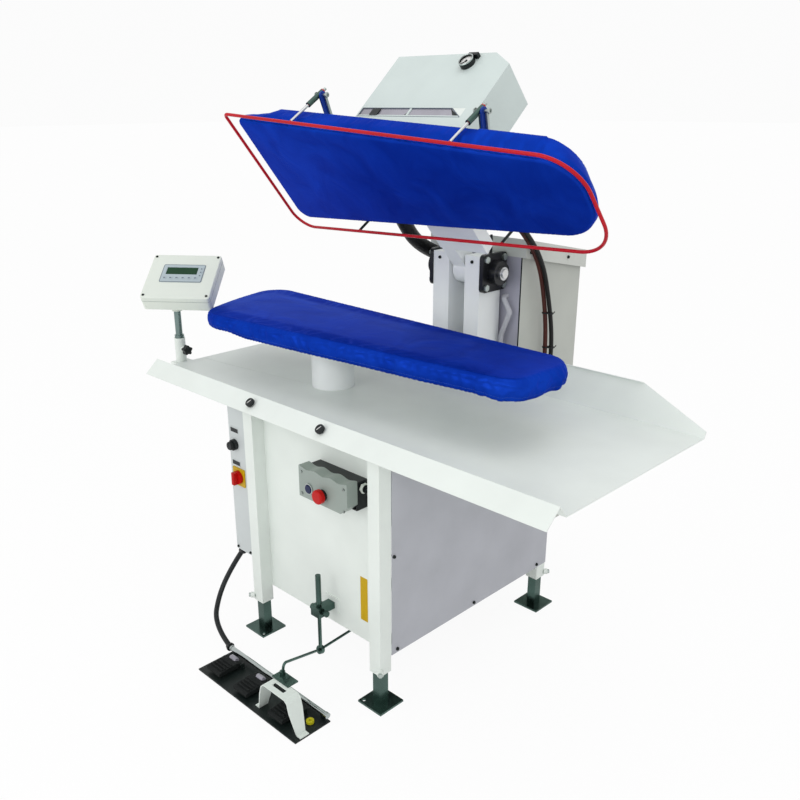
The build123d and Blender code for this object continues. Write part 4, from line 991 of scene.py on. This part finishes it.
# Row of stitches above each cover's gathered hem
stitchProfile = [(0.0003, -0.0017), (0.0005, -0.001), (0.0005, 0.001), (0.0003, 0.0017)]
stitchPitch = 0.0052
stitchShape = patternObject("stitchShape", spun(stitchProfile, 6))
stitchShape.data.transform(Matrix.Rotation(math.pi / 2, 4, "Y"))
for name, line in seamLines.items():
    curve = bpy.data.curves.new(name + "Seam", "CURVE")
    curve.dimensions = "3D"
    spline = curve.splines.new("POLY")
    spline.points.add(len(line) - 1)
    for spot, place in zip(spline.points, line):
        spot.co = (*place, 1)
    spline.use_cyclic_u = True
    source = patternObject(name + "Line", curve)
    values = {stitchInputs["Shape"]: stitchShape, stitchInputs["Pitch"]: stitchPitch,
              stitchInputs["Finish"]: paint["blueThread"]}
    grown(name + "Stitches", source, stitching, values, "blueThread", covers[name]["body"])
for thing in (screwShape, stitchShape):
    bpy.data.objects.remove(thing)
print("stitches sewn")


# Pale floor and backdrop, soft light
surround = {"floorColour": (0.9, 0.9, 0.9), "half": 60, "drop": -0.0005, "pale": 0.93, "sky": 0.97, "ambient": 0.82}


def seenRays(tree):
    # 1 for rays that come from the camera, a reflection or a see-through face
    rays = newNode(tree, "ShaderNodeLightPath")
    either, anySeen = (newNode(tree, "ShaderNodeMath", operation="MAXIMUM") for k in range(2))
    wire(tree, (rays, "Is Camera Ray", either, 0), (rays, "Is Glossy Ray", either, 1), (either, "Value", anySeen, 0),
         (rays, "Is Transmission Ray", anySeen, 1))
    return anySeen


floorMesh = bpy.data.meshes.new("floor")
half, drop = surround["half"], surround["drop"]
floorMesh.from_pydata([(-half, -half, drop), (half, -half, drop), (half, half, drop), (-half, half, drop)],
                      [], [(0, 1, 2, 3)])
floor = bpy.data.objects.new("floor", floorMesh)
bpy.context.collection.objects.link(floor)
# The camera sees the floor pale, and its shadows stay
floorPaint, floorTree, floorShader = newPaint("floorPaint")
setInputs(floorShader, {"Base Color": (*surround["floorColour"], 1), "Roughness": 0.9})
glow = newNode(floorTree, "ShaderNodeEmission")
blendFloor = newNode(floorTree, "ShaderNodeMixShader")
paleness = newNode(floorTree, "ShaderNodeMath", {1: surround["pale"]}, operation="MULTIPLY")
wire(floorTree, (seenRays(floorTree), "Value", paleness, 0), (paleness, "Value", blendFloor, "Fac"),
     (floorShader, "BSDF", blendFloor, 1), (glow, "Emission", blendFloor, 2),
     (blendFloor, "Shader", floorTree.nodes["Material Output"], "Surface"))
floorMesh.materials.append(floorPaint)

world = bpy.data.worlds.new("studio")
bpy.context.scene.world = world
world.use_nodes = True
skyTree = world.node_tree
sky = skyTree.nodes["Background"]
setInputs(sky, {"Color": (1, 1, 1, 1)})
level = newNode(skyTree, "ShaderNodeMapRange", {"To Min": surround["ambient"], "To Max": surround["sky"]})
wire(skyTree, (seenRays(skyTree), "Value", level, "Value"), (level, "Result", sky, "Strength"))

lamps = {"keyLight": {"place": (-0.6, -4.4, 2.3), "aim": (0, 0, 0.8), "size": 2.4, "watts": 34},
         "frontLight": {"place": (2.3, -2.6, 2.5), "aim": (0, 0, 1.0), "size": 0.5, "watts": 11},
         "sideLight": {"place": (4.0, 0.6, 2.6), "aim": (0, 0, 0.8), "size": 2.4, "watts": 2},
         "topLight": {"place": (0.4, 0.2, 4.6), "aim": (0, 0, 0.8), "size": 3.0, "watts": 20}}
for name, spec in lamps.items():
    lamp = bpy.data.lights.new(name, "AREA")
    lamp.energy, lamp.size = spec["watts"], spec["size"]
    holder = bpy.data.objects.new(name, lamp)
    bpy.context.collection.objects.link(holder)
    holder.location = spec["place"]
    holder.rotation_euler = (Vector(spec["aim"]) - Vector(spec["place"])).to_track_quat("-Z", "Y").to_euler()
print("stage set")
